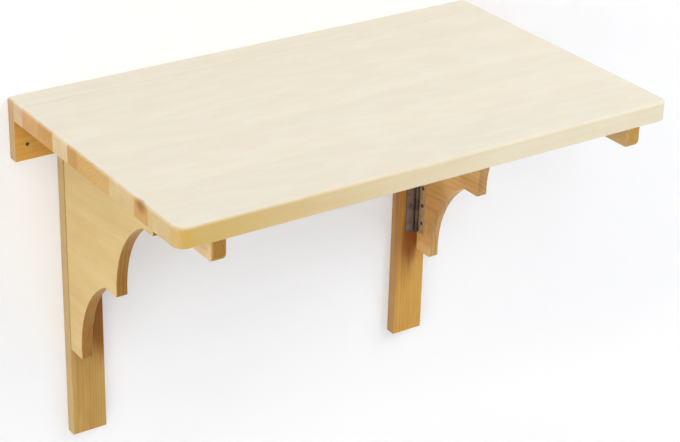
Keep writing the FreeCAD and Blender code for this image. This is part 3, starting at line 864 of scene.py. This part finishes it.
        # Patches of darker wood and of painted shade, as each board lists them.
        for place in self.hearts_and_shades:
            mask = HeartwoodAndShade.place(wiring, position=position, reach=place.reach,
                                   centre=plot.within(place.centre))["Patch"]
            colour = wiring.blend(mask, colour, place.tint, Blend.TINT)
        for place in self.knots:
            colour = self.add_knot(wiring, plot, position, place, colour)
        wiring.plug(surface.inputs["Base Color"], colour)
        self.gloss(wiring, surface, position, rings, fibre, edge)
        return material

    def add_knot(self, wiring: Wiring, plot: Plot, position: Socket, place: KnotPlace,
                 colour: Socket) -> Socket:
        """Darken the colour at a knot.

        Args:
            wiring: The material's wiring.
            plot: Where the board is.
            position: Position along, across and through the board.
            place: The knot.
            colour: Colour without the knot.

        Returns:
            Colour with the knot.
        """
        masks = Knot.place(wiring, position=position, centre=plot.within(place.centre),
                           reach=place.reach)
        haloed = wiring.blend(wiring.math("MULTIPLY", masks["Halo"], self.HALO_SHARE),
                              colour, self.late, Blend.TINT)
        return wiring.blend(masks["Heart"], haloed, self.knot)

    def gloss(self, wiring: Wiring, surface: bpy.types.Node, position: Socket,
              rings: Socket, fibre: dict[str, Socket], edge: Socket) -> None:
        """Wire roughness, lacquer and relief.

        Args:
            wiring: The material's wiring.
            surface: The Principled BSDF.
            position: Position along, across and through the board.
            rings: Mask of the late wood.
            fibre: Outputs of the fibre group.
            edge: Mask of the eased edges.
        """
        use = Handling.place(wiring, position=position, smudge=self.SMUDGE)
        rough = wiring.math("ADD", use["Roughness"], self.roughness)
        for mask, shine in ((rings, self.LATE_SHINE), (edge, self.EDGE_SHINE)):
            rough = wiring.math("MULTIPLY_ADD", mask, -shine, rough)
        wiring.plug(surface.inputs["Roughness"], rough)
        surface.inputs["Specular IOR Level"].default_value = self.SPECULAR
        surface.inputs["Coat Weight"].default_value = self.COAT
        surface.inputs["Coat Roughness"].default_value = self.COAT_ROUGHNESS
        height = wiring.math("MULTIPLY", fibre["Fibre"], self.FIBRE_HEIGHT)
        for mask, rise in ((rings, self.LATE_HEIGHT), (fibre["Ducts"], -self.DUCT_DEPTH),
                           (use["Ripple"], self.RIPPLE_HEIGHT)):
            height = wiring.math("MULTIPLY_ADD", mask, rise, height)
        bump = wiring.node("Bump", {"Height": height, "Distance": self.RELIEF,
                                    "Strength": self.RELIEF_STRENGTH})
        wiring.plug(surface.inputs["Normal"], bump.outputs[0])


@dataclass(frozen=True)
class Stave:
    """One strip of an edge-glued panel.

    Attributes:
        front: Front edge of the strip, from the wall.
        end: Colour of its end grain.
        tone: Brightness of its faces, about 1.
        pith: Place of its pith across the strip, from 0 to 1.
        heart_up: True if the heart of the tree is above the panel.
    """

    front: float
    end: Colour
    tone: float
    pith: float
    heart_up: bool


@dataclass(frozen=True)
class GluedPine(Pine):
    """Panel of strips glued edge to edge, each from another part of the tree.

    Attributes:
        staves: The strips, from the rear.
        rear: Distance of the panel's rear edge from the wall.
        lit_far_side: Colour of the narrow sides at the panel's far end, paler as painted
            light.
    """

    staves: tuple[Stave, ...] = ()
    rear: float = 0.0
    lit_far_side: Colour = paint(236, 227, 201)

    PITH_SPREAD: ClassVar[float] = 0.09
    # Painted light: along the front edge the colour turns from side into the paler
    # lit_far_side towards the right end.
    SIDE_TURNS: ClassVar[Range] = (-0.46, 0.17)  # where side passes into lit_far_side

    @property
    def middle(self) -> float:
        """Distance of the panel's middle from the wall."""
        return (self.rear + self.staves[-1].front) / 2

    def strip_ramp(self, wiring: Wiring, position: Socket, colours: list[Colour]) -> Socket:
        """Wire a colour for each strip.

        Args:
            wiring: The material's wiring.
            position: Position along, across and through the panel.
            colours: One colour a strip, from the rear.

        Returns:
            The strip's colour.
        """
        span = self.staves[-1].front - self.rear
        across = wiring.split(position)[1]
        place = wiring.math("MULTIPLY_ADD", across, -1.0 / span,
                            (self.middle - self.rear) / span)
        ramp = wiring.node("ValToRGB", {0: place})
        ramp.color_ramp.interpolation = "CONSTANT"
        starts = [self.rear] + [stave.front for stave in self.staves[:-1]]
        stops = ramp.color_ramp.elements
        for index, (start, colour) in enumerate(zip(starts, colours)):
            spot = (start - self.rear) / span
            stop = stops.new(spot) if index else stops[0]
            stop.position = spot
            stop.color = colour
        stops.remove(stops[-1])
        return ramp.outputs[0]

    def ground(self, wiring: Wiring, position: Socket, cut: dict[str, Socket]) -> Socket:
        """Colour of the wood between its rings.

        Args:
            wiring: The material's wiring.
            position: Position along, across and through the panel.
            cut: Masks of the end grain and of the broad faces.

        Returns:
            The colour.
        """
        along = wiring.split(position)[0]
        # Painted light: the front edge grows paler towards its right end.
        side = wiring.blend(wiring.between(along, *self.SIDE_TURNS), self.side, self.lit_far_side)
        long_grain = wiring.blend(cut["Face"], side, self.face)
        tones = [(stave.tone, stave.tone, stave.tone, 1.0) for stave in self.staves]
        toned = wiring.blend(1.0, long_grain, self.strip_ramp(wiring, position, tones),
                             Blend.TINT)
        ends = self.strip_ramp(wiring, position, [stave.end for stave in self.staves])
        return wiring.blend(cut["End"], toned, ends)

    def ring_place(self, wiring: Wiring, position: Socket) -> tuple[Socket, Value, Value]:
        """Turn the rings over in every strip with its heart up.

        Args:
            wiring: The material's wiring.
            position: Position along, across and through the panel.

        Returns:
            Position for the rings, and the pith's place across and below.
        """
        marks = [(stave.pith, 1.0 if stave.heart_up else 0.0, 0.0, 1.0)
                 for stave in self.staves]
        place, flip, _ = wiring.node("SeparateColor", {
            0: self.strip_ramp(wiring, position, marks)}).outputs
        from_middle = wiring.math("SUBTRACT", place, 0.5)
        across = wiring.math("MULTIPLY_ADD", from_middle, self.PITH_SPREAD, self.pith_across)
        sign = wiring.math("MULTIPLY_ADD", flip, -2.0, 1.0)
        turned = wiring.vector("MULTIPLY", position, wiring.join(1.0, 1.0, sign))
        return turned, across, self.pith_below


@dataclass(frozen=True)
class Steel:
    """Hinge steel, ground and browned, with painted shade on its barrels and its rounded
    edges.

    Attributes:
        bright: Colour of the ground steel.
        dark: Colour of its browned patches.
        barrel: Colour of barrels and rounded edges, a painted shade.
        roughness: Roughness of the ground steel.
        seed: Place in the noise.
        axis: A point on the axis of the barrel, on a hinge leaf.
    """

    bright: Colour = paint(142, 122, 104)
    dark: Colour = paint(82, 66, 54)
    barrel: Colour = paint(70, 60, 52)
    roughness: float = 0.42
    seed: float = 3.0
    axis: Point | None = None

    BARREL_SHADE_SHARE: ClassVar[float] = 0.92
    BARREL_RADIUS: ClassVar[float] = 0.0034
    DULL_SHARE: ClassVar[float] = 0.6
    LINE_SHARE: ClassVar[float] = 0.35
    SMUDGE: ClassVar[float] = 0.08
    DULL_ROUGHNESS: ClassVar[float] = 0.14
    LINE_ROUGHNESS: ClassVar[float] = 0.12
    RELIEF: ClassVar[float] = 0.00002
    RELIEF_STRENGTH: ClassVar[float] = 0.5

    def material(self, name: str, plot: Plot) -> bpy.types.Material:
        """Make the material of one hinge piece.

        Args:
            name: Name of the material.
            plot: Where the piece is, with its grinding along the plot's grain.

        Returns:
            The material.
        """
        material, wiring, surface = start_material(name)
        position, facing = plot.coordinates(wiring)
        marks = BrushMarks.place(wiring, position=position, seed=self.seed)
        edge = EasedEdge.place(wiring, position=position, facing=facing, sawn=0.0)["Edge"]
        use = Handling.place(wiring, position=position, smudge=self.SMUDGE)
        if self.axis:
            rolled = Barrel.place(wiring, position=position, centre=plot.within(self.axis),
                                  radius=self.BARREL_RADIUS)["Round"]
            edge = wiring.math("MAXIMUM", edge, rolled)
        colour = self.bright
        # The last mark is painted shade on the barrels and rounded edges.
        for mask, share, tint in ((marks["Dull"], self.DULL_SHARE, self.dark),
                                  (marks["Lines"], self.LINE_SHARE, self.dark),
                                  (edge, self.BARREL_SHADE_SHARE, self.barrel)):
            colour = wiring.blend(wiring.math("MULTIPLY", mask, share), colour, tint)
        wiring.plug(surface.inputs["Base Color"], colour)
        surface.inputs["Metallic"].default_value = 1.0
        rough = wiring.math("ADD", use["Roughness"], self.roughness)
        for mask, share in ((marks["Dull"], self.DULL_ROUGHNESS),
                            (marks["Lines"], self.LINE_ROUGHNESS)):
            rough = wiring.math("MULTIPLY_ADD", mask, share, rough)
        wiring.plug(surface.inputs["Roughness"], rough)
        bump = wiring.node("Bump", {"Height": marks["Lines"], "Distance": self.RELIEF,
                                    "Strength": self.RELIEF_STRENGTH})
        wiring.plug(surface.inputs["Normal"], bump.outputs[0])
        return material


CREAM = paint(235, 229, 211)
# The leaf's edges are paler than its top, partly a painted highlight on the rounded edges.
CREAM_EDGE = paint(238, 230, 206)

# Painted shade: the bores of the rail's screw holes are darkened, standing for the shade
# inside the holes.
PAINTED_BORE_SHADE = tuple(HeartAndShadePlace((across, -0.009, -0.0225), (0.008, 0.008, 0.0095),
                         paint(150, 112, 70)) for across in (-0.381, -0.127, 0.127, 0.381))

PINE = Pine()
# Partly the boards' own colour, partly painted light and shade: the rail's top takes the lit
# cream of the tabletop, and its orange front partly stands for the shade under the overhang.
RAIL_PINE = replace(PINE, face=paint(214, 164, 80), side=CREAM, end=paint(203, 173, 122),
                    edge=paint(228, 202, 152), ring_share=0.5,
                    figure=Figure(0.4, 0.08, 0.3), seed=4.0, hearts_and_shades=PAINTED_BORE_SHADE)
LEDGE_PINE = replace(PINE, face=CREAM, side=CREAM, end=paint(217, 196, 156),
                     edge=CREAM_EDGE, figure=Figure(0.10, 0.10, 0.35), ring_share=0.3,
                     tone_share=0.4, mottle_share=0.9, seed=7.0)
# Painted light and shade: the patch on the left post beside its gusset stands for the gusset's
# shadow, and the paler side for the light falling on it from the left.
POST_PINE = replace(
    PINE, face=paint(195, 162, 92), side=paint(205, 177, 122), edge=paint(208, 176, 114),
    ring_share=0.5, ring_spacing=0.0036, pith_across=0.034, pith_below=0.028, wander=0.016,
    figure=Figure(0.5, 0.3, 0.4), seed=9.0,
    hearts_and_shades=(HeartAndShadePlace((-0.281, -0.018, -0.33), (0.08, 0.022, 0.012), paint(198, 156, 88)),))
# Painted shade: the right post's inner side is darker, the long patch stands for the shade
# under the tabletop near the post's top, and the small one for the shade beside the gusset
# lower down.
RIGHT_POST_PINE = replace(
    POST_PINE, face=paint(212, 170, 85), side=paint(186, 146, 90), edge=paint(196, 154, 86),
    seed=11.0,
    hearts_and_shades=(HeartAndShadePlace((0.283, -0.018, -0.24), (0.2, 0.05, 0.012), paint(226, 208, 200)),
            HeartAndShadePlace((0.297, -0.018, -0.345), (0.055, 0.018, 0.012), paint(198, 162, 126))))
# Painted light and shade: a lit copy of the gusset face colour for the outer faces, and a
# deeper orange, shaded copy for the inner faces under the leaf.
LIT_OUTER_FACE = paint(221, 195, 134)
SHADED_INNER_FACE = paint(234, 197, 131)
# Painted shade: the left gusset's sides and ends, which show on its coves, are a darker brown
# than the right gusset's, standing for the shade over the coves.
GUSSET_PINE = replace(
    PINE, face=SHADED_INNER_FACE, back=LIT_OUTER_FACE, side=paint(183, 143, 69),
    end=paint(166, 122, 50), edge=paint(226, 199, 138), sawn=1.0, ring_share=0.28,
    ring_spacing=0.006, pith_below=0.35, figure=Figure(0.3, 0.4, 0.4), seed=12.0)
# Painted shade: the two patches on the right gusset darken its inner face under the leaf and
# near the post.
RIGHT_GUSSET_PINE = replace(
    GUSSET_PINE, face=LIT_OUTER_FACE, back=SHADED_INNER_FACE, side=paint(211, 178, 129),
    end=paint(199, 162, 103), edge=paint(216, 184, 134), ring_share=0.5, ring_spacing=0.007,
    pith_below=0.12, pith_across=0.15, wander=0.035, figure=Figure(0.6, 0.35, 0.4), seed=13.0,
    hearts_and_shades=(HeartAndShadePlace((0.310, -0.165, -0.19), (0.05, 0.045, 0.01), paint(242, 242, 232)),
            HeartAndShadePlace((0.310, -0.062, -0.275), (0.05, 0.075, 0.01), paint(226, 213, 195))))
BATTEN_PINE = replace(PINE, face=paint(217, 191, 143), side=paint(213, 184, 134),
                      end=paint(165, 125, 51), edge=paint(198, 158, 88), ring_share=0.6,
                      figure=Figure(0.3, 0.3, 0.35), seed=15.0)
RIGHT_BATTEN_PINE = replace(BATTEN_PINE, face=paint(194, 164, 110), side=paint(190, 160, 112),
                            end=paint(197, 158, 80), edge=paint(194, 156, 90), seed=16.0)
BEECH = replace(PINE, face=paint(214, 168, 124), side=paint(214, 168, 124),
                end=paint(204, 156, 112), ring_spacing=0.002, figure=Figure(0.2, 0.2, 0.3),
                seed=21.0)
LEAF_PINE = GluedPine(
    face=CREAM, side=paint(206, 174, 97), edge=CREAM_EDGE, sawn=1.0, ring_share=0.3,
    tone_share=0.4, mottle_share=0.9, figure=Figure(0.12, 0.12, 0.3), seed=2.0, rear=0.0436,
    knots=(KnotPlace((-0.4, -0.385, 0.0392), (0.003, 0.0068, 0.0058)),),
    hearts_and_shades=(HeartAndShadePlace((-0.397, -0.477, 0.028), (0.02, 0.02, 0.018), paint(255, 247, 218)),),
    staves=(
        Stave(0.094, paint(211, 167, 109), 0.995, 0.2, True),
        Stave(0.138, paint(203, 155, 85), 0.985, 0.8, False),
        Stave(0.182, paint(219, 200, 156), 1.0, 0.4, True),
        Stave(0.209, paint(195, 153, 82), 0.985, 0.7, True),
        Stave(0.252, paint(209, 170, 97), 0.995, 0.1, False),
        Stave(0.300, paint(209, 172, 102), 0.975, 0.9, True),
        Stave(0.367, paint(213, 190, 137), 0.985, 0.5, False),
        Stave(0.403, paint(204, 162, 91), 0.965, 0.3, True),
        Stave(0.480, paint(211, 187, 134), 0.955, 0.6, False),
    ))
HINGE_STEEL = Steel(bright=paint(140, 128, 124), dark=paint(82, 70, 62))
# Painted light: a paler, warmer copy of the hinge steel, lifting the gusset's hinge leaves out
# of the shade they sit in.
LIT_GUSSET_HINGE_STEEL = Steel(bright=paint(240, 210, 166), dark=paint(190, 160, 120), seed=4.0)
PIN_STEEL = Steel(bright=paint(128, 116, 104), roughness=0.36, seed=5.0)
BROWNED_STEEL = Steel(bright=paint(132, 114, 98), dark=paint(86, 70, 58), seed=6.0)
ZINC = Steel(bright=paint(204, 202, 192), dark=paint(142, 136, 120),
             barrel=paint(186, 182, 170), roughness=0.34, seed=8.0)


# ----------------------------------------------------------------- sub-assemblies

@dataclass
class SubAssembly:
    """Nodes of the frame that are dressed together.

    Attributes:
        frame: The loaded frame.
    """

    frame: dict

    def dress(self, node: str, finish: Pine | Steel, lay: Lay) -> None:
        """Give a node its finish.

        Args:
            node: Name of the node.
            finish: The finish.
            lay: How the grain or the grinding lies.
        """
        plot = Plot.of(node, lay)
        item = self.frame["nodes"][node]
        item.data.materials.clear()
        item.data.materials.append(finish.material(node + "_finish", plot))
        log.info("%s: %s, %d faces", node, type(finish).__name__, len(item.data.polygons))


@dataclass
class Tabletop(SubAssembly):
    """Leaf, the ledge behind it and the battens below it.

    Attributes:
        battens: Finish of each batten, from the left.
    """

    battens: tuple[Pine, Pine] = (BATTEN_PINE, RIGHT_BATTEN_PINE)

    def build(self) -> None:
        """Dress every board of the tabletop."""
        self.dress("table_leaf", LEAF_PINE, Lay.LEVEL)
        self.dress("rear_ledge", LEDGE_PINE, Lay.LEVEL)
        for side, board in zip(SIDES, self.battens):
            self.dress(side + "_batten", board, Lay.OUTWARD)


@dataclass
class WallFrame(SubAssembly):
    """Rail and posts on the wall, with the dowels between them.

    Attributes:
        posts: Finish of each post, from the left.
    """

    posts: tuple[Pine, Pine] = (POST_PINE, RIGHT_POST_PINE)

    def build(self) -> None:
        """Dress the rail, the posts and their dowels."""
        self.dress("wall_rail", RAIL_PINE, Lay.ON_EDGE)
        for side, board in zip(SIDES, self.posts):
            self.dress(side + "_post", board, Lay.UPRIGHT)
            self.dress(side + "_post_dowels", BEECH, Lay.UPRIGHT)


@dataclass
class Gussets(SubAssembly):
    """The two swinging gussets.

    Attributes:
        boards: Finish of each gusset, from the left.
    """

    boards: tuple[Pine, Pine] = (GUSSET_PINE, RIGHT_GUSSET_PINE)

    def build(self) -> None:
        """Dress both gussets."""
        for side, board in zip(SIDES, self.boards):
            self.dress(side + "_gusset", board, Lay.BRACKET)


@dataclass
class Hinges(SubAssembly):
    """Hinges of the gussets and of the leaf.

    Attributes:
        table_hinges: Number of hinges between the ledge and the leaf.
    """

    table_hinges: int = 3

    def build(self) -> None:
        """Dress every leaf and pin."""
        for side in SIDES:
            for level in LEVELS:
                prefix = "%s_%s_" % (side, level)
                self.dress_hinge(prefix + "hinge_pin", Lay.UPRIGHT, {
                    prefix + "post_hinge_leaf": HINGE_STEEL,
                    prefix + "gusset_hinge_leaf": LIT_GUSSET_HINGE_STEEL})
        for number in range(self.table_hinges):
            prefix = "table_hinge_%d_" % (number + 1)
            self.dress_hinge(prefix + "pin", Lay.LEVEL, {
                prefix + "ledge_leaf": HINGE_STEEL, prefix + "table_leaf": HINGE_STEEL})

    def dress_hinge(self, pin: str, lay: Lay, leaves: dict[str, Steel]) -> None:
        """Dress one hinge.

        Args:
            pin: Name of the pin, which lies on the axis of the barrel.
            lay: How the axis lies.
            leaves: Finish of each leaf, by its name.
        """
        axis = Plot.of(pin, lay).middle
        for leaf, steel in leaves.items():
            self.dress(leaf, replace(steel, axis=axis), lay)
        self.dress(pin, PIN_STEEL, lay)


@dataclass
class Fixings(SubAssembly):
    """Every group of screws."""

    def build(self) -> None:
        """Dress every group of screws."""
        for side in SIDES:
            for place in ("post_hinge", "gusset_hinge"):
                self.dress("%s_%s_screws" % (side, place), BROWNED_STEEL, Lay.LEVEL)
            self.dress(side + "_batten_screws", ZINC, Lay.LEVEL)
        for group in ("ledge_hinge_screws", "leaf_hinge_screws", "ledge_screws"):
            self.dress(group, ZINC, Lay.LEVEL)


@dataclass(frozen=True)
class Lamp:
    """A square soft lamp.

    Attributes:
        name: Its name.
        direction: Its direction from the table.
        power: Its power in watts.
    """

    name: str
    direction: Point
    power: float


@dataclass
class Studio:
    """Pale wall and floor, soft lamps and the camera.

    Attributes:
        half_width: Reach of the sheet to each side.
        reach: Reach of the floor into the room.
        height: Height of the wall's top.
        floor_level: Height of the floor.
        cove: Radius between floor and wall.
        cove_points: Number of points along that curve.
        wall_place: Place of the wall, a little behind the table.
        touch: Distance below which the sheet lets light reach a board that touches it.
        sheet: The two colours of the sheet.
        sheet_grain: Scale of its change of colour.
        glow: Share of plain white in the sheet near the table.
        glow_rises: Distances between which that share rises to 1.
        ambient: Strength of the even light.
        eye: Place of the camera.
        yaw: Its turn from +Y towards +X, in degrees.
        pitch: Its tip downwards, in degrees.
        roll: Turn of the picture, in degrees.
        lens: Focal length in millimetres.
        sensor: Width of the picture in the camera, in millimetres.
        lamp_distance: Distance of the lamps, as a multiple of their direction.
        lamp_size: Side of each lamp.
        lamp_target: Point that the lamps face.
        lamps: The lamps.
    """

    half_width: float = 9.0
    reach: float = 9.0
    height: float = 7.0
    floor_level: float = -0.705
    cove: float = 0.12
    cove_points: int = 17
    wall_place: float = 0.0006
    touch: float = 0.002
    sheet: tuple[Colour, Colour] = (paint(251, 252, 254), paint(253, 253, 255))
    sheet_grain: float = 3.0
    glow: float = 0.15
    glow_rises: Range = (1.6, 3.2)
    ambient: float = 0.1
    eye: Point = (-1.4253, -2.3119, 1.1018)
    yaw: float = 34.58
    pitch: float = 26.38
    roll: float = 1.65
    lens: float = 102.5
    sensor: float = 36.0
    lamp_distance: float = 3.2
    lamp_size: float = 1.6
    lamp_target: Point = (0.0, -0.2, -0.02)
    lamps: tuple[Lamp, ...] = (Lamp("front_left_lamp", (-0.45, -0.65, 0.60), 36.5),
                               Lamp("front_right_lamp", (0.45, -0.65, 0.60), 25.5),
                               Lamp("right_lamp", (0.75, -0.40, 0.50), 31.0),
                               Lamp("low_left_lamp", (-0.85, -0.50, 0.10), 25.5),
                               Lamp("back_left_lamp", (-0.50, 0.80, 0.35), 26.0),
                               Lamp("back_right_lamp", (0.55, 0.75, 0.40), 26.0))

    def sweep(self) -> None:
        """Make the floor and the wall as one sheet.

        Its profile runs along the floor to the wall, up a quarter circle and up the
        wall: depth = centre + r sin(a), height = centre - r cos(a) for a from 0 to 90
        degrees.  The profile is carried along X.
        """
        angles = np.linspace(0.0, math.pi / 2, self.cove_points)
        depth = self.wall_place - self.cove + self.cove * np.sin(angles)
        height = self.floor_level + self.cove - self.cove * np.cos(angles)
        depth = np.concatenate([[-self.reach], depth, [self.wall_place]])
        height = np.concatenate([[self.floor_level], height, [self.height]])
        across = np.array([-self.half_width, self.half_width])
        grid = np.stack([np.repeat(across[:, None], len(depth), 1),
                         np.repeat(depth[None], 2, 0), np.repeat(height[None], 2, 0)], -1)
        first = np.arange(len(depth) - 1)
        row = len(depth)
        faces = np.stack([first, first + row, first + row + 1, first + 1], -1)
        mesh = bpy.data.meshes.new("studio_sweep")
        mesh.from_pydata(grid.reshape(-1, 3).tolist(), [], faces.tolist())
        mesh.polygons.foreach_set("use_smooth", np.ones(len(faces), bool))
        sheet = bpy.data.objects.new("studio_sweep", mesh)
        bpy.context.scene.collection.objects.link(sheet)
        mesh.materials.append(self.sweep_material())

    def sweep_material(self) -> bpy.types.Material:
        """Make the white of the sheet, which keeps shadows.

        It can't be seen from behind, and light from behind it reaches the backs of the
        boards that touch it, so that they look right once the camera goes round.

        Returns:
            The material.
        """
        material, wiring, surface = start_material("studio_sweep")
        place = wiring.node("TexCoord").outputs["Object"]
        grain = wiring.noise(place, self.sheet_grain).outputs[0]
        wiring.plug(surface.inputs["Base Color"], wiring.blend(grain, *self.sheet))
        surface.inputs["Roughness"].default_value = 1.0
        surface.inputs["Specular IOR Level"].default_value = 0.0
        glow = wiring.node("Emission", {"Color": WHITE, "Strength": 1.0})
        ray = wiring.node("LightPath").outputs
        seen = wiring.math("MAXIMUM", ray["Is Camera Ray"], ray["Is Glossy Ray"])
        share = wiring.between(wiring.length(place), *self.glow_rises, self.glow, 1.0)
        seen = wiring.math("MULTIPLY", seen, share)
        lifted = wiring.node("MixShader", {0: seen, 1: surface.outputs[0],
                                           2: glow.outputs[0]})
        clear = wiring.node("BsdfTransparent")
        behind = wiring.node("NewGeometry").outputs["Backfacing"]
        touching = wiring.math("LESS_THAN", ray["Ray Length"], self.touch)
        mixed = wiring.node("MixShader", {0: wiring.math("MAXIMUM", behind, touching),
                                          1: lifted.outputs[0], 2: clear.outputs[0]})
        output = next(node for node in wiring.tree.nodes if node.type == "OUTPUT_MATERIAL")
        wiring.plug(output.inputs["Surface"], mixed.outputs[0])
        return material

    def world(self) -> None:
        """Even light all round, which camera and gloss see as white."""
        world = bpy.data.worlds.new("studio")
        bpy.context.scene.world = world
        world.use_nodes = True
        wiring = Wiring(world.node_tree)
        wiring.tree.nodes.clear()
        ray = wiring.node("LightPath").outputs
        seen = wiring.math("MAXIMUM", ray["Is Camera Ray"], wiring.math(
            "MAXIMUM", ray["Is Glossy Ray"], ray["Is Transmission Ray"]))
        strength = wiring.between(seen, 0.0, 1.0, self.ambient, 1.0)
        sky = wiring.node("Background", {"Color": WHITE, "Strength": strength})
        wiring.node("OutputWorld", {"Surface": sky.outputs[0]})

    def hang(self, lamp: Lamp) -> None:
        """Hang a lamp, facing the table.

        Args:
            lamp: The lamp.
        """
        light = bpy.data.lights.new(lamp.name, "AREA")
        light.shape = "SQUARE"
        light.size = self.lamp_size
        light.energy = lamp.power
        item = bpy.data.objects.new(lamp.name, light)
        item.visible_camera = False
        away = Vector(lamp.direction)
        place = Vector(self.lamp_target) + away * self.lamp_distance
        aim = (-away).to_track_quat("-Z", "Y").to_matrix().to_4x4()
        item.matrix_world = Matrix.Translation(place) @ aim
        bpy.context.scene.collection.objects.link(item)

    def camera(self) -> None:
        """Set the camera."""
        yaw, pitch, roll = (math.radians(angle) for angle in (self.yaw, self.pitch, self.roll))
        ahead = Vector((math.sin(yaw) * math.cos(pitch), math.cos(yaw) * math.cos(pitch),
                        -math.sin(pitch)))
        right = Vector((math.cos(yaw), -math.sin(yaw), 0.0))
        down = ahead.cross(right)
        picture_right = right * math.cos(roll) - down * math.sin(roll)
        picture_down = right * math.sin(roll) + down * math.cos(roll)
        turn = Matrix((picture_right, -picture_down, -ahead)).transposed()
        lens = bpy.data.cameras.new("camera")
        lens.lens = self.lens
        lens.sensor_width = self.sensor
        item = bpy.data.objects.new("camera", lens)
        item.matrix_world = Matrix.Translation(self.eye) @ turn.to_4x4()
        bpy.context.scene.collection.objects.link(item)
        bpy.context.scene.camera = item

    def build(self) -> None:
        """Set the stage, the lamps and the camera."""
        bpy.context.scene.view_settings.view_transform = "Standard"
        self.sweep()
        self.world()
        for lamp in self.lamps:
            self.hang(lamp)
        self.camera()
        log.info("studio: sweep, %d lamps and a camera", len(self.lamps))


def main() -> None:
    """Load the frame, dress it and set the studio."""
    logging.basicConfig(level=logging.INFO, format="%(message)s")
    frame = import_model()
    bpy.context.view_layer.update()
    Studio().build()
    for assembly in (Tabletop, WallFrame, Gussets, Hinges, Fixings):
        assembly(frame).build()


if __name__ == "__main__":
    main()
